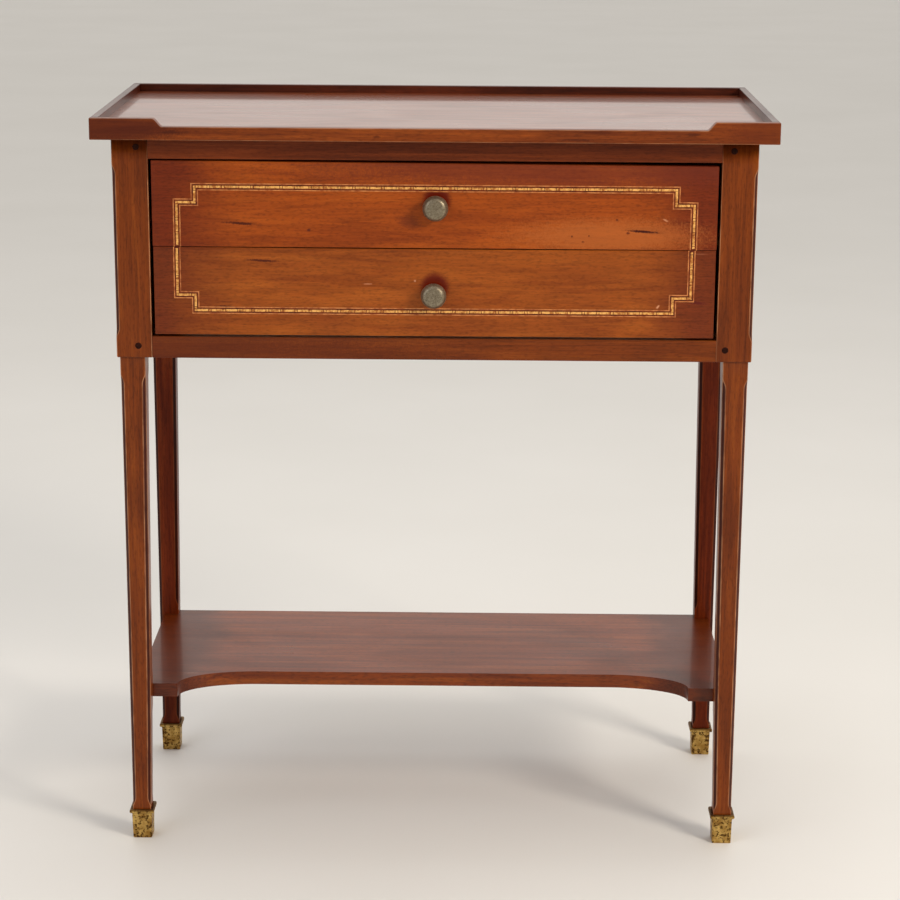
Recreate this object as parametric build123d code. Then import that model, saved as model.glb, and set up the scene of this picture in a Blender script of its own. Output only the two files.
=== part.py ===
"""Small mahogany side table in the Louis XVI taste, with a tray top, two drawers and a shelf.

Frame: millimetres, +Z up, the front towards -Y, X to the right for someone facing the front.
The origin is on the floor under the middle of the top.  Each piece of the table is a solid of
its own, written to parts/NAME.step.
"""
from build123d import *
import math
import os

# ---------------------------------------------------------------- driving sizes
WIDTH = 620.0                # tray, left to right
DEPTH = 300.0                # tray, front to back
HEIGHT = 705.0               # floor to the top of the gallery

POST = 33.0                  # square block at the top of each leg
CASE_HALF_X = 294.0          # outer side face of the posts
CASE_HALF_Y = 127.5          # outer front and back face of the posts
CASE_BOTTOM = 481.0          # underside of the blocks and of the bottom rail
TRAY_BOTTOM = 685.5          # underside of the top

LEG_SETBACK = 2.5            # the leg stands this far in from the block's outer faces
LEG_TOP = 23.5               # leg's square width just under the block
LEG_AT_SHELF = 20.0
LEG_FOOT = 17.6
LEG_CHAMFER = 2.8
STOP_LENGTH = 12.0           # length of the curved stop at each end of a chamfer
CHAMFER_END = 6.0            # a chamfer that meets the shelf ends this far off it
CHAMFER_END_TOP = 14.0       # all of them end this far below the block
FOOT_PLUG = 16.2             # the end of the leg that enters the sabot
SABOT_HEIGHT = 30.0

RAIL_HEIGHT = 19.6
RAIL_THICK = 18.0
RAIL_CHAMFER_LAP = 4.0       # the post's chamfer starts this far below the bottom rail's top
BOTTOM_RAIL_TOP = CASE_BOTTOM + 20.1
TENON_THICK = 8.0
TENON_LENGTH = 22.0
TENON_SETBACK = 5.0          # from the rail's front face
TONGUE_LENGTH = 10.0         # tongue of a panel let into a post
TONGUE_SHOULDER = 2.0
TONGUE_END = 10.0            # the tongue stops this far from the panel's upper and lower edge
PEG_RADIUS = 3.1
PEG_PROUD = 0.3
PEG_INSET = 10.5             # from the inner side of the post
LOWER_PEG_SHIFT = -2.3       # the lower pegs were bored a little further left
PEG_LENGTH = 20.0

PANEL_THICK = 12.0
PANEL_SETBACK = 2.0

SHELF_TOP = 153.5
SHELF_THICK = 13.3
SHELF_HALF_X = 286.0
SHELF_REAR = 118.0
SHELF_FRONT = -107.5         # the short straight ends of the front edge
SHELF_END_X = 247.5          # where the straight ends stop
SHELF_SCOOP_WIDTH = 76.0     # quarter ellipse from the straight end to the flat middle
SHELF_SCOOP_DEPTH = 37.0
DOWEL_RADIUS = 2.5
DOWEL_HALF_LENGTH = 14.0
DOWEL_INSET = 2.0            # from the leg's middle towards the middle of the shelf

TRAY_SURFACE = 697.3
GALLERY_THICK = 7.0
FRONT_EDGE_THICK = 9.0
RAISED_END = 59.0            # length of the raised ends of the front edge
OGEE_RUN = 6.0

DRAWER_TOP = 663.4
TOP_SLOPE = 1.9              # the upper front was planed this much lower at its right end
SEAM = 585.0
SEAM_GAP = 1.0               # between the fronts at the middle
SEAM_BOW = 0.65              # the gap closes by this much towards the ends
DRAWER_BOTTOM = 503.2
FRONT_THICK = 18.0
FRONT_RECESS = 0.5           # fronts sit this far behind the faces of the posts
SIDE_THICK = 9.0
SIDE_OUTER = 257.6
DRAWER_REAR = 107.0
BACK_THICK = 9.0
BACK_SETBACK = 6.0           # the drawer's back stands in from the ends of the sides
BACK_DROP = 5.0              # ... and stays this far below their upper edges
BOTTOM_THICK = 4.8
BOTTOM_RISE = 6.0            # the bottom sits this far above the sides' lower edges
BOTTOM_TONGUE = 5.0          # how far the bottom enters the front
GROOVE = 4.0
LAP = 12.0                   # length of the dovetails let into the fronts
SLIDE_GAP = 0.2              # between a drawer and what it slides on
UPPER_RUNNER_TOP = 593.0
UPPER_RUNNER_BOTTOM = 586.2
LOWER_RUNNER_TOP = 504.9
LOWER_RUNNER_BOTTOM = 491.0
RUNNER_CLEARANCE = 0.8       # between a drawer front and the end of a runner
RUNNER_INNER = 236.0
GUIDE_INNER = 258.5
GUIDE_HEIGHT = 15.0
TRAY_SCREW_X = 246.0
TRAY_SCREW_Y = 85.0
SIDE_SCREW_RISE = 8.0        # above the top of the runner
SIDE_SCREW_Y = 70.0
STOP_INNER = 242.0           # drawer stops: from here to here across, on the runners
STOP_OUTER = 256.0
STOP_HEIGHT = 11.0
STOP_GAP = 0.2

UPPER_FRONT_HALF_X = 258.3
LOWER_FRONT_HALF_X = 257.9
UPPER_SIDE_TOP = 660.0
LOWER_SIDE_TOP = 582.0
UPPER_INLAY = (0.7, 239.7)   # middle and half width of the upper half of the inlaid frame
LOWER_INLAY = (-0.2, 239.4)  # ... and of the lower half, which doesn't quite line up with it

KNOB_RADIUS = 11.7
KNOB_REACH = 15.5
UPPER_KNOB_RISE = -1.3       # knobs against the middle height of their drawer
LOWER_KNOB_RISE = -1.4
UPPER_KNOB_X = 0.9
LOWER_KNOB_X = -0.4
BOLT_RADIUS = 2.0
BOLT_CLEARANCE = 0.2
BOLT_HEAD_RADIUS = 4.5

INLAY_DEPTH = 1.0
INLAY_WIDTH = 6.7            # whole band: line, ground, dashes, ground, line
INLAY_LINE = 0.95
INLAY_DASH_WIDTH = 2.1
INLAY_MIDDLE = 583.45        # height of the middle of the inlaid frame
INLAY_STEP_X = 16.5          # the frame's corners are stepped in by this much sideways
INLAY_HALF_Z = 60.55
INLAY_STEP_Z = 14.3          # ... and by this much in height
LONG_DASH = 10.0
SHORT_DASH = 2.0
DASH_GAP = 0.55

POST_INNER = CASE_HALF_X - POST
POST_BACK = CASE_HALF_Y - POST
FRONT_FACE = -CASE_HALF_Y + FRONT_RECESS
PANEL_OUTER = CASE_HALF_X - PANEL_SETBACK
PANEL_INNER = PANEL_OUTER - PANEL_THICK
BACK_OUTER = CASE_HALF_Y - PANEL_SETBACK - 1
BACK_INNER = BACK_OUTER - PANEL_THICK

os.makedirs("parts", exist_ok=True)
nodes = {}


# ---------------------------------------------------------------- small helpers
def block(x0, x1, y0, y1, z0, z1):
    """A box between two corners."""
    middle = ((x0 + x1) / 2, (y0 + y1) / 2, (z0 + z1) / 2)
    return Pos(*middle) * Box(abs(x1 - x0), abs(y1 - y0), abs(z1 - z0))


def rod(radius, start, end):
    """A round rod from one point to another."""
    along = Vector(*end) - Vector(*start)
    plane = Plane(origin=start, z_dir=along)
    return extrude(plane * Circle(radius), along.length)


def square_section(corners, z):
    """A flat polygon at height z."""
    return make_face(Polyline([(x, y, z) for x, y in corners], close=True))


def mirror_left_right(shape):
    """The same piece on the other side of the table."""
    return mirror(shape, about=Plane.YZ)


def keep(name, shape):
    """Note a finished piece under its name."""
    nodes[name] = shape


# ---------------------------------------------------------------- legs
def leg_width(z):
    """Width of the square leg at height z: it tapers faster below the shelf."""
    if z >= SHELF_TOP:
        share = (z - SHELF_TOP) / (CASE_BOTTOM - SHELF_TOP)
        return LEG_AT_SHELF + share * (LEG_TOP - LEG_AT_SHELF)
    share = (z - SABOT_HEIGHT) / (SHELF_TOP - SABOT_HEIGHT)
    return LEG_FOOT + share * (LEG_AT_SHELF - LEG_FOOT)


def leg_corners(z):
    """The four corners of the front left leg at height z, from the outer one round."""
    x = -CASE_HALF_X + LEG_SETBACK
    y = -CASE_HALF_Y + LEG_SETBACK
    w = leg_width(z)
    return [(x, y), (x + w, y), (x + w, y + w), (x, y + w)]


def arris_cutter(corner, outward, heights):
    """What is planed off one arris; heights lists (z, width of the chamfer)."""
    margin = 0.4
    ox, oy = outward
    sections = []
    for z, width in heights:
        x, y = corner(z)
        far = [(margin, margin), (-width - margin, margin), (margin, -width - margin)]
        sections.append(square_section([(x + ox * u, y + oy * v) for u, v in far], z))
    return loft(sections, ruled=True)


def stopped(bottom, top, width, open_foot=False):
    """Heights and widths of a chamfer that fades out in a curved stop at both ends.

    With open_foot its lower end has no stop, but the full width.
    """
    steps = 4
    rise = []
    for i in range(steps + 1):
        share = i / steps
        size = -0.35 + (width + 0.35) * 0.5 * (1 - math.cos(math.pi * share))
        rise.append((share * STOP_LENGTH, size))
    lower = [(bottom, width)] if open_foot else [(bottom + dz, size) for dz, size in rise]
    upper = [(top - dz, size) for dz, size in reversed(rise)]
    kink = [(SHELF_TOP, width)] if bottom + STOP_LENGTH < SHELF_TOP < top - STOP_LENGTH else []
    return lower + kink + upper


def leg_blank():
    """Front left leg before its joints are cut."""
    x = -CASE_HALF_X
    y = -CASE_HALF_Y
    leg = block(x, x + POST, y, y + POST, CASE_BOTTOM, TRAY_BOTTOM)
    for low, high in ((SABOT_HEIGHT, SHELF_TOP), (SHELF_TOP, CASE_BOTTOM)):
        leg += loft([square_section(leg_corners(z), z) for z in (low, high)], ruled=True)
    inset = (LEG_FOOT - FOOT_PLUG) / 2
    foot_x = x + LEG_SETBACK + inset
    foot_y = y + LEG_SETBACK + inset
    leg += block(foot_x, foot_x + FOOT_PLUG, foot_y, foot_y + FOOT_PLUG, 1.5, SABOT_HEIGHT)

    chamfer_top = CASE_BOTTOM - CHAMFER_END_TOP
    outward = [(-1, -1), (1, -1), (1, 1), (-1, 1)]
    for index, direction in enumerate(outward):
        spans = [(SABOT_HEIGHT, chamfer_top)]
        if index == 2:          # the arris that meets the shelf stops above and below it
            shelf_bottom = SHELF_TOP - SHELF_THICK
            spans = [(SABOT_HEIGHT, shelf_bottom - CHAMFER_END),
                     (SHELF_TOP + CHAMFER_END, chamfer_top)]
        for bottom, top in spans:
            def corner(z, index=index):
                return leg_corners(z)[index]
            cuts = stopped(bottom, top, LEG_CHAMFER, open_foot=bottom == SABOT_HEIGHT)
            leg -= arris_cutter(corner, direction, cuts)

    def post_corner(z):
        return x, y
    post_chamfer = stopped(BOTTOM_RAIL_TOP - RAIL_CHAMFER_LAP, DRAWER_TOP, LEG_CHAMFER)
    leg -= arris_cutter(post_corner, (-1, -1), post_chamfer)
    return leg


# ---------------------------------------------------------------- rails and panels
def front_rail(bottom, top):
    """Rail between the front posts, with a tenon at each end."""
    y = -CASE_HALF_Y
    rail = block(-POST_INNER, POST_INNER, y, y + RAIL_THICK, bottom, top)
    tenon_x = POST_INNER + TENON_LENGTH
    tenon_y = y + TENON_SETBACK
    rail += block(-tenon_x, tenon_x, tenon_y, tenon_y + TENON_THICK, bottom + 3, top - 2)
    return rail


def side_panel():
    """Left side of the case, tenoned into the front and rear legs."""
    panel = block(-PANEL_OUTER, -PANEL_INNER, -POST_BACK, POST_BACK, CASE_BOTTOM, TRAY_BOTTOM)
    tongue = POST_BACK + TONGUE_LENGTH
    panel += block(-PANEL_OUTER + TONGUE_SHOULDER, -PANEL_INNER - TONGUE_SHOULDER,
                   -tongue, tongue, CASE_BOTTOM + TONGUE_END, TRAY_BOTTOM - TONGUE_END)
    return panel


def back_panel():
    """Back of the case, tenoned into the rear legs."""
    panel = block(-POST_INNER, POST_INNER, BACK_INNER, BACK_OUTER, CASE_BOTTOM, TRAY_BOTTOM)
    tongue = POST_INNER + TONGUE_LENGTH
    panel += block(-tongue, tongue, BACK_INNER + TONGUE_SHOULDER, BACK_OUTER - TONGUE_SHOULDER,
                   CASE_BOTTOM + TONGUE_END, TRAY_BOTTOM - TONGUE_END)
    return panel


def side_strip(front, bottom, top):
    """Left strip inside the case: full width between the posts, narrower past them."""
    strip = block(-PANEL_INNER, -RUNNER_INNER, -POST_BACK, POST_BACK, bottom, top)
    return strip + block(-POST_INNER, -RUNNER_INNER, front, BACK_INNER, bottom, top)


def runner(front, bottom, top):
    """Left drawer runner, with the guide that keeps the drawer straight."""
    guide = block(-PANEL_INNER, -GUIDE_INNER, -POST_BACK, POST_BACK, top, top + GUIDE_HEIGHT)
    return side_strip(front, bottom, top) + guide


# ---------------------------------------------------------------- tray top
def gallery_side():
    """Left gallery strip, mitred at the back."""
    x = -WIDTH / 2
    y0 = -DEPTH / 2 + FRONT_EDGE_THICK
    y1 = DEPTH / 2
    inner = x + GALLERY_THICK
    outline = [(x, y0), (inner, y0), (inner, y1 - GALLERY_THICK), (x, y1)]
    strip = extrude(square_section(outline, TRAY_BOTTOM), HEIGHT - TRAY_BOTTOM)
    return strip


def gallery_back():
    """Gallery strip along the back, mitred at both ends."""
    x = WIDTH / 2
    y1 = DEPTH / 2
    inner = x - GALLERY_THICK
    outline = [(-x, y1), (-inner, y1 - GALLERY_THICK), (inner, y1 - GALLERY_THICK), (x, y1)]
    return extrude(square_section(outline, TRAY_BOTTOM), HEIGHT - TRAY_BOTTOM)


def tray_front_edge():
    """Front edging: low in the middle, raised at the ends, with a small ogee between."""
    y = -DEPTH / 2
    half = WIDTH / 2
    lip = TRAY_SURFACE + 0.2
    drop = HEIGHT - lip
    raised = half - RAISED_END
    low = raised - OGEE_RUN
    middle = (raised - OGEE_RUN * 0.5, y, HEIGHT - drop * 0.5)

    def ogee(side):
        """Convex shoulder, then a concave foot, seen from the front."""
        top = (side * raised, y, HEIGHT)
        centre = (side * middle[0], y, middle[2])
        foot = (side * low, y, lip)
        shoulder = (side * (raised - 2.2), y, HEIGHT - 1.1)
        hollow = (side * (low + 1.9), y, lip + 0.9)
        return [ThreePointArc(top, shoulder, centre), ThreePointArc(centre, hollow, foot)]

    lines = [Polyline([(-low, y, lip), (low, y, lip)])]
    lines += ogee(1)
    lines += [Polyline([(raised, y, HEIGHT), (half, y, HEIGHT), (half, y, TRAY_BOTTOM),
                        (-half, y, TRAY_BOTTOM), (-half, y, HEIGHT), (-raised, y, HEIGHT)])]
    lines += ogee(-1)
    outline = make_face(Wire([edge for line in lines for edge in line.edges()]))
    return extrude(outline, FRONT_EDGE_THICK, dir=(0, 1, 0))


# ---------------------------------------------------------------- shelf
def shelf():
    """Shelf whose front edge is scooped out between two short straight ends."""
    x = SHELF_HALF_X
    scoop_y = SHELF_FRONT + SHELF_SCOOP_DEPTH
    scoop_x = SHELF_END_X - SHELF_SCOOP_WIDTH
    right = EllipticalCenterArc((scoop_x, SHELF_FRONT), SHELF_SCOOP_WIDTH, SHELF_SCOOP_DEPTH,
                                start_angle=0, arc_size=90)
    left = EllipticalCenterArc((-scoop_x, SHELF_FRONT), SHELF_SCOOP_WIDTH, SHELF_SCOOP_DEPTH,
                               start_angle=90, arc_size=90)
    edges = [right, Line((scoop_x, scoop_y), (-scoop_x, scoop_y)), left,
             Polyline([(-SHELF_END_X, SHELF_FRONT), (-x, SHELF_FRONT), (-x, SHELF_REAR),
                       (x, SHELF_REAR), (x, SHELF_FRONT), (SHELF_END_X, SHELF_FRONT)])]
    outline = make_face(Wire([edge for line in edges for edge in line.edges()]))
    board = Pos(0, 0, SHELF_TOP - SHELF_THICK) * extrude(outline, SHELF_THICK)
    return board


# ---------------------------------------------------------------- sabots
def sabot():
    """Front left brass cup: tapered square body under a flared, flat-edged collar."""
    x = -CASE_HALF_X + LEG_SETBACK + LEG_FOOT / 2
    y = -CASE_HALF_Y + LEG_SETBACK + LEG_FOOT / 2
    levels = [(0.0, 18.2), (24.0, 19.4), (26.8, 23.4), (28.6, 23.8), (SABOT_HEIGHT, 22.6)]
    solid = None
    for (z0, w0), (z1, w1) in zip(levels, levels[1:]):
        faces = [Pos(x, y, z) * Rectangle(w, w) for z, w in ((z0, w0), (z1, w1))]
        ring = loft(faces, ruled=True)
        solid = ring if solid is None else solid + ring
    socket = block(x - FOOT_PLUG / 2, x + FOOT_PLUG / 2, y - FOOT_PLUG / 2, y + FOOT_PLUG / 2,
                   1.5, SABOT_HEIGHT + 1)
    return solid - socket


def sabot_pin():
    """Small pin through the inner side of the front left sabot into the leg."""
    x = -CASE_HALF_X + LEG_SETBACK + LEG_FOOT / 2
    y = -CASE_HALF_Y + LEG_SETBACK + LEG_FOOT / 2
    return rod(0.8, (x, y + 3, 14), (x, y + 9.7, 14))


# ---------------------------------------------------------------- drawers
def inlay_region(inset, span):
    """The stepped frame's area, shrunk by inset; span is its middle and half width."""
    middle, half_width = span
    half_x = half_width - inset
    half_z = INLAY_HALF_Z - inset
    y0 = FRONT_FACE
    y1 = FRONT_FACE + INLAY_DEPTH
    step_x = half_x - INLAY_STEP_X
    tall = block(middle - step_x, middle + step_x, y0, y1,
                 INLAY_MIDDLE - half_z, INLAY_MIDDLE + half_z)
    wide = block(middle - half_x, middle + half_x, y0, y1,
                 INLAY_MIDDLE - half_z + INLAY_STEP_Z, INLAY_MIDDLE + half_z - INLAY_STEP_Z)
    return tall + wide


def inlay_band(outer, inner, span, limits):
    """A band of the frame between two insets, inside one drawer's height."""
    band = inlay_region(outer, span) - inlay_region(inner, span)
    low, high = limits
    return band & block(-WIDTH, WIDTH, FRONT_FACE, FRONT_FACE + INLAY_DEPTH, low, high)


def inlay_path(span, limits, upward):
    """Centre line of one drawer's half of the frame, from seam to seam, as x and z."""
    inset = INLAY_WIDTH / 2
    middle, half_width = span
    half_x = half_width - inset
    step_x = half_x - INLAY_STEP_X
    half_z = INLAY_HALF_Z - inset
    step_z = half_z - INLAY_STEP_Z
    sign = 1 if upward else -1
    seam = limits[0] if upward else limits[1]
    side = [(half_x, seam), (half_x, INLAY_MIDDLE + sign * step_z),
            (step_x, INLAY_MIDDLE + sign * step_z), (step_x, INLAY_MIDDLE + sign * half_z)]
    left = [(middle - x, z) for x, z in side]
    return left + [(middle + x, z) for x, z in reversed(side)]


def dash_run(start, end):
    """Long and short tesserae along one straight run, evenly fitted."""
    (x0, z0), (x1, z1) = start, end
    length = math.hypot(x1 - x0, z1 - z0)
    reach = length - INLAY_DASH_WIDTH
    pitch = LONG_DASH + SHORT_DASH + 2 * DASH_GAP
    count = max(1, round(reach / pitch))
    stretch = reach / (count * pitch)
    ux, uz = (x1 - x0) / length, (z1 - z0) / length
    pieces = []
    along = INLAY_DASH_WIDTH / 2
    for _ in range(count):
        for piece in (LONG_DASH, SHORT_DASH):
            size = piece * stretch
            centre = along + DASH_GAP * stretch / 2 + size / 2
            cx, cz = x0 + ux * centre, z0 + uz * centre
            dx = size if ux else INLAY_DASH_WIDTH
            dz = size if uz else INLAY_DASH_WIDTH
            pieces.append(block(cx - dx / 2, cx + dx / 2, FRONT_FACE, FRONT_FACE + INLAY_DEPTH,
                                cz - dz / 2, cz + dz / 2))
            along += size + DASH_GAP * stretch
    return pieces


def corner_tessera(x, z):
    """Square tessera where two runs of the frame meet."""
    half = INLAY_DASH_WIDTH / 2
    return block(x - half, x + half, FRONT_FACE, FRONT_FACE + INLAY_DEPTH, z - half, z + half)


def dovetails(height_low, height_high):
    """Three tails at the front end of the left drawer side."""
    root = FRONT_FACE + FRONT_THICK
    tip = root - LAP
    x0, x1 = -SIDE_OUTER, -SIDE_OUTER + SIDE_THICK
    pitch = (height_high - height_low) / 3
    tails = []
    for i in range(3):
        middle = height_low + pitch * (i + 0.5)
        narrow, wide = pitch * 0.30, pitch * 0.38
        outline = Polyline([(x0, root, middle - narrow), (x0, tip, middle - wide),
                            (x0, tip, middle + wide), (x0, root, middle + narrow)], close=True)
        tails.append(extrude(make_face(outline), x1 - x0, dir=(1, 0, 0)))
    return tails


def front_board(low, left, middle, right, half_width):
    """Drawer front whose upper edge runs through three heights, from left to right."""
    y = FRONT_FACE
    upper = [(-half_width, y, left), (0, y, middle), (half_width, y, right)]
    straight = abs(left + right - 2 * middle) < 1e-6
    edge = Polyline([upper[0], upper[2]]) if straight else ThreePointArc(*upper)
    rest = Polyline([upper[2], (half_width, y, low), (-half_width, y, low), upper[0]])
    outline = make_face(Wire([*edge.edges(), *rest.edges()]))
    return extrude(outline, FRONT_THICK, dir=(0, 1, 0))


def drawer(prefix, low, tops, side_limits, half_width, span, knob_place, upward):
    """One drawer with its inlay, knob and bolt; tops are the front's heights, left to right."""
    high = max(tops)
    limits = (low, high)
    side_low, side_high = side_limits
    front_back = FRONT_FACE + FRONT_THICK
    front = front_board(low, *tops, half_width)

    side = block(-SIDE_OUTER, -SIDE_OUTER + SIDE_THICK, front_back, DRAWER_REAR,
                 side_low, side_high)
    for tail in dovetails(side_low, side_high):
        side += tail
    inner = SIDE_OUTER - SIDE_THICK
    bottom_low = side_low + BOTTOM_RISE
    bottom = block(-inner - GROOVE, inner + GROOVE, front_back - BOTTOM_TONGUE, DRAWER_REAR,
                   bottom_low, bottom_low + BOTTOM_THICK)
    back_rear = DRAWER_REAR - BACK_SETBACK
    back = block(-inner - GROOVE, inner + GROOVE, back_rear - BACK_THICK, back_rear,
                 bottom_low + BOTTOM_THICK, side_high - BACK_DROP)
    side = side - bottom - back
    other_side = mirror_left_right(side)
    front = front - side - other_side - bottom

    lines = inlay_band(0, INLAY_LINE, span, limits)
    lines += inlay_band(INLAY_WIDTH - INLAY_LINE, INLAY_WIDTH, span, limits)
    lines = lines & front
    path = inlay_path(span, limits, upward)
    dashes = [dash for start, end in zip(path, path[1:]) for dash in dash_run(start, end)]
    dashes += [corner_tessera(x, z) for x, z in path[1:-1]]
    ground = inlay_band(INLAY_LINE, INLAY_WIDTH - INLAY_LINE, span, limits) & front
    ground = ground - dashes
    front = front - inlay_band(0, INLAY_WIDTH, span, limits)

    knob_x, knob_rise = knob_place
    knob_z = (low + high) / 2 + knob_rise
    knob, bolt = knob_and_bolt(knob_x, knob_z)
    front = front - rod(BOLT_RADIUS + BOLT_CLEARANCE, (knob_x, FRONT_FACE - 1, knob_z),
                        (knob_x, front_back + 1, knob_z))

    keep(prefix + "_drawer_front", front)
    keep(prefix + "_drawer_side_left", side)
    keep(prefix + "_drawer_side_right", other_side)
    keep(prefix + "_drawer_back", back)
    keep(prefix + "_drawer_bottom", bottom)
    keep(prefix + "_knob", knob)
    keep(prefix + "_knob_bolt", bolt)
    keep(prefix + "_inlay_lines", Compound(lines.solids()))
    keep(prefix + "_inlay_dashes", Compound([dash.solids()[0] for dash in dashes]))
    keep(prefix + "_inlay_ground", Compound(ground.solids()))


def knob_and_bolt(x, z):
    """A flat-domed round knob on a short neck, and the bolt that holds it from inside."""
    rim = KNOB_RADIUS - 0.6
    crown = 0.6              # the dome ends in a tiny flat
    bolt_depth = 9.0
    outline = Wire([
        *Polyline([(BOLT_RADIUS, 0), (6.5, 0), (6.5, 1.2), (4.6, 2.6), (4.6, 5.5)]).edges(),
        ThreePointArc((4.6, 5.5), (8.2, 7.6), (rim, 8.4)).edge(),
        ThreePointArc((rim, 8.4), (KNOB_RADIUS, 9.6), (rim, 10.9)).edge(),
        ThreePointArc((rim, 10.9), (6.2, 14.2), (crown, KNOB_REACH)).edge(),
        *Polyline([(crown, KNOB_REACH), (0, KNOB_REACH), (0, bolt_depth),
                   (BOLT_RADIUS, bolt_depth), (BOLT_RADIUS, 0)]).edges(),
    ])
    knob = revolve(make_face(outline), axis=Axis.Y)
    knob = Pos(x, FRONT_FACE, z) * Rot(180, 0, 0) * knob
    inside = FRONT_FACE + FRONT_THICK
    shank = rod(BOLT_RADIUS, (x, FRONT_FACE - bolt_depth, z), (x, inside, z))
    head = rod(BOLT_HEAD_RADIUS, (x, inside, z), (x, inside + 2.2, z))
    slot = block(x - 6, x + 6, inside + 1.4, inside + 3, z - 0.5, z + 0.5)
    return knob, shank + head - slot


# ---------------------------------------------------------------- screws
def countersunk_screw(radius, head_radius, length, x, y, z):
    """A screw pointing up, with its slotted head at height z."""
    taper = head_radius - radius
    shank = rod(radius, (x, y, z + taper), (x, y, z + length))
    head = Pos(x, y, z + taper / 2) * Cone(head_radius, radius, taper)
    slot = block(x - head_radius, x + head_radius, y - 0.4, y + 0.4, z, z + 0.8)
    return head + shank - slot


# ---------------------------------------------------------------- assembly
leg = leg_blank()
top_rail = front_rail(TRAY_BOTTOM - RAIL_HEIGHT, TRAY_BOTTOM)
bottom_rail = front_rail(CASE_BOTTOM, BOTTOM_RAIL_TOP)
left_panel = side_panel()
rear_panel = back_panel()
board = shelf()

CLEAT_BOTTOM = TRAY_BOTTOM - RAIL_HEIGHT
RUNNER_FRONT = FRONT_FACE + FRONT_THICK + RUNNER_CLEARANCE
lower_runner = runner(RUNNER_FRONT, LOWER_RUNNER_BOTTOM, LOWER_RUNNER_TOP)
upper_runner = runner(RUNNER_FRONT, UPPER_RUNNER_BOTTOM, UPPER_RUNNER_TOP)
cleat = side_strip(-CASE_HALF_Y + RAIL_THICK, CLEAT_BOTTOM, TRAY_BOTTOM)

PEG_X = POST_INNER + PEG_INSET
PEG_PLACES = [(side * PEG_X + shift, z) for side in (-1, 1)
              for shift, z in ((LOWER_PEG_SHIFT, CASE_BOTTOM + 11.2), (0, TRAY_BOTTOM - 8.9))]
pegs = [rod(PEG_RADIUS, (x, -CASE_HALF_Y - PEG_PROUD, z), (x, -CASE_HALF_Y + PEG_LENGTH, z))
        for x, z in PEG_PLACES]


def shelf_dowel(front):
    """Dowel from the left rear or front leg into the corner of the shelf."""
    side = -1 if front else 1
    leg_inner = CASE_HALF_Y - LEG_SETBACK - LEG_AT_SHELF
    x = -CASE_HALF_X + LEG_SETBACK + LEG_AT_SHELF / 2 + DOWEL_INSET
    z = SHELF_TOP - SHELF_THICK / 2
    return rod(DOWEL_RADIUS, (x, side * (leg_inner - DOWEL_HALF_LENGTH), z),
               (x, side * (leg_inner + DOWEL_HALF_LENGTH), z))


dowels_left = [shelf_dowel(True), shelf_dowel(False)]
dowels = dowels_left + [mirror_left_right(dowel) for dowel in dowels_left]
leg_front = leg - top_rail - bottom_rail - left_panel - board
leg_rear = mirror(leg, about=Plane.XZ) - rear_panel - left_panel - board
for dowel in dowels:
    leg_front -= dowel
    leg_rear -= dowel
    board -= dowel

pin = sabot_pin()
leg_front -= pin
cup = sabot() - pin
cup_rear = mirror(cup, about=Plane.XZ)
pin_rear = mirror(pin, about=Plane.XZ)
leg_rear -= pin_rear
leg_front_right = mirror_left_right(leg_front)
for peg in pegs:
    leg_front -= peg
    leg_front_right -= peg
    top_rail -= peg
    bottom_rail -= peg
pins = [pin, pin_rear, mirror_left_right(pin), mirror_left_right(pin_rear)]

tray_screws = [countersunk_screw(1.8, 3.8, 25.0, side * TRAY_SCREW_X, y, CLEAT_BOTTOM)
               for side in (-1, 1) for y in (-TRAY_SCREW_Y, 0, TRAY_SCREW_Y)]
tray_board = block(-WIDTH / 2 + GALLERY_THICK, WIDTH / 2 - GALLERY_THICK,
                   -DEPTH / 2 + FRONT_EDGE_THICK, DEPTH / 2 - GALLERY_THICK,
                   TRAY_BOTTOM, TRAY_SURFACE)
cleat_right = mirror_left_right(cleat)
for screw in tray_screws:
    tray_board -= screw
    cleat -= screw
    cleat_right -= screw


def side_screw(y, z):
    """Screw through a runner's guide into the left side panel."""
    upright = countersunk_screw(1.6, 3.2, 24.0, 0, 0, 0)
    return Pos(-GUIDE_INNER, y, z) * Rot(0, -90, 0) * upright


runner_screws_left = [side_screw(y, z + SIDE_SCREW_RISE)
                      for z in (LOWER_RUNNER_TOP, UPPER_RUNNER_TOP)
                      for y in (-SIDE_SCREW_Y, 0, SIDE_SCREW_Y)]
for screw in runner_screws_left:
    lower_runner -= screw
    upper_runner -= screw
    left_panel -= screw
runner_screws = runner_screws_left + [mirror_left_right(s) for s in runner_screws_left]

stops_left = [block(-STOP_OUTER, -STOP_INNER, DRAWER_REAR + STOP_GAP, BACK_INNER,
                    z, z + STOP_HEIGHT)
              for z in (LOWER_RUNNER_TOP, UPPER_RUNNER_TOP)]
stops = stops_left + [mirror_left_right(stop) for stop in stops_left]

keep("leg_front_left", leg_front)
keep("leg_front_right", leg_front_right)
keep("leg_rear_left", leg_rear)
keep("leg_rear_right", mirror_left_right(leg_rear))
keep("top_rail", top_rail)
keep("bottom_rail", bottom_rail)
keep("side_panel_left", left_panel)
keep("side_panel_right", mirror_left_right(left_panel))
keep("back_panel", rear_panel)
keep("lower_runner_left", lower_runner)
keep("lower_runner_right", mirror_left_right(lower_runner))
keep("upper_runner_left", upper_runner)
keep("upper_runner_right", mirror_left_right(upper_runner))
keep("top_cleat_left", cleat)
keep("top_cleat_right", cleat_right)
keep("tray_board", tray_board)
keep("tray_front_edge", tray_front_edge())
keep("gallery_left", gallery_side())
keep("gallery_right", mirror_left_right(gallery_side()))
keep("gallery_back", gallery_back())
keep("shelf", board)
keep("shelf_dowels", Compound([dowel.solids()[0] for dowel in dowels]))
keep("sabot_front_left", cup)
keep("sabot_front_right", mirror_left_right(cup))
keep("sabot_rear_left", cup_rear)
keep("sabot_rear_right", mirror_left_right(cup_rear))
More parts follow.
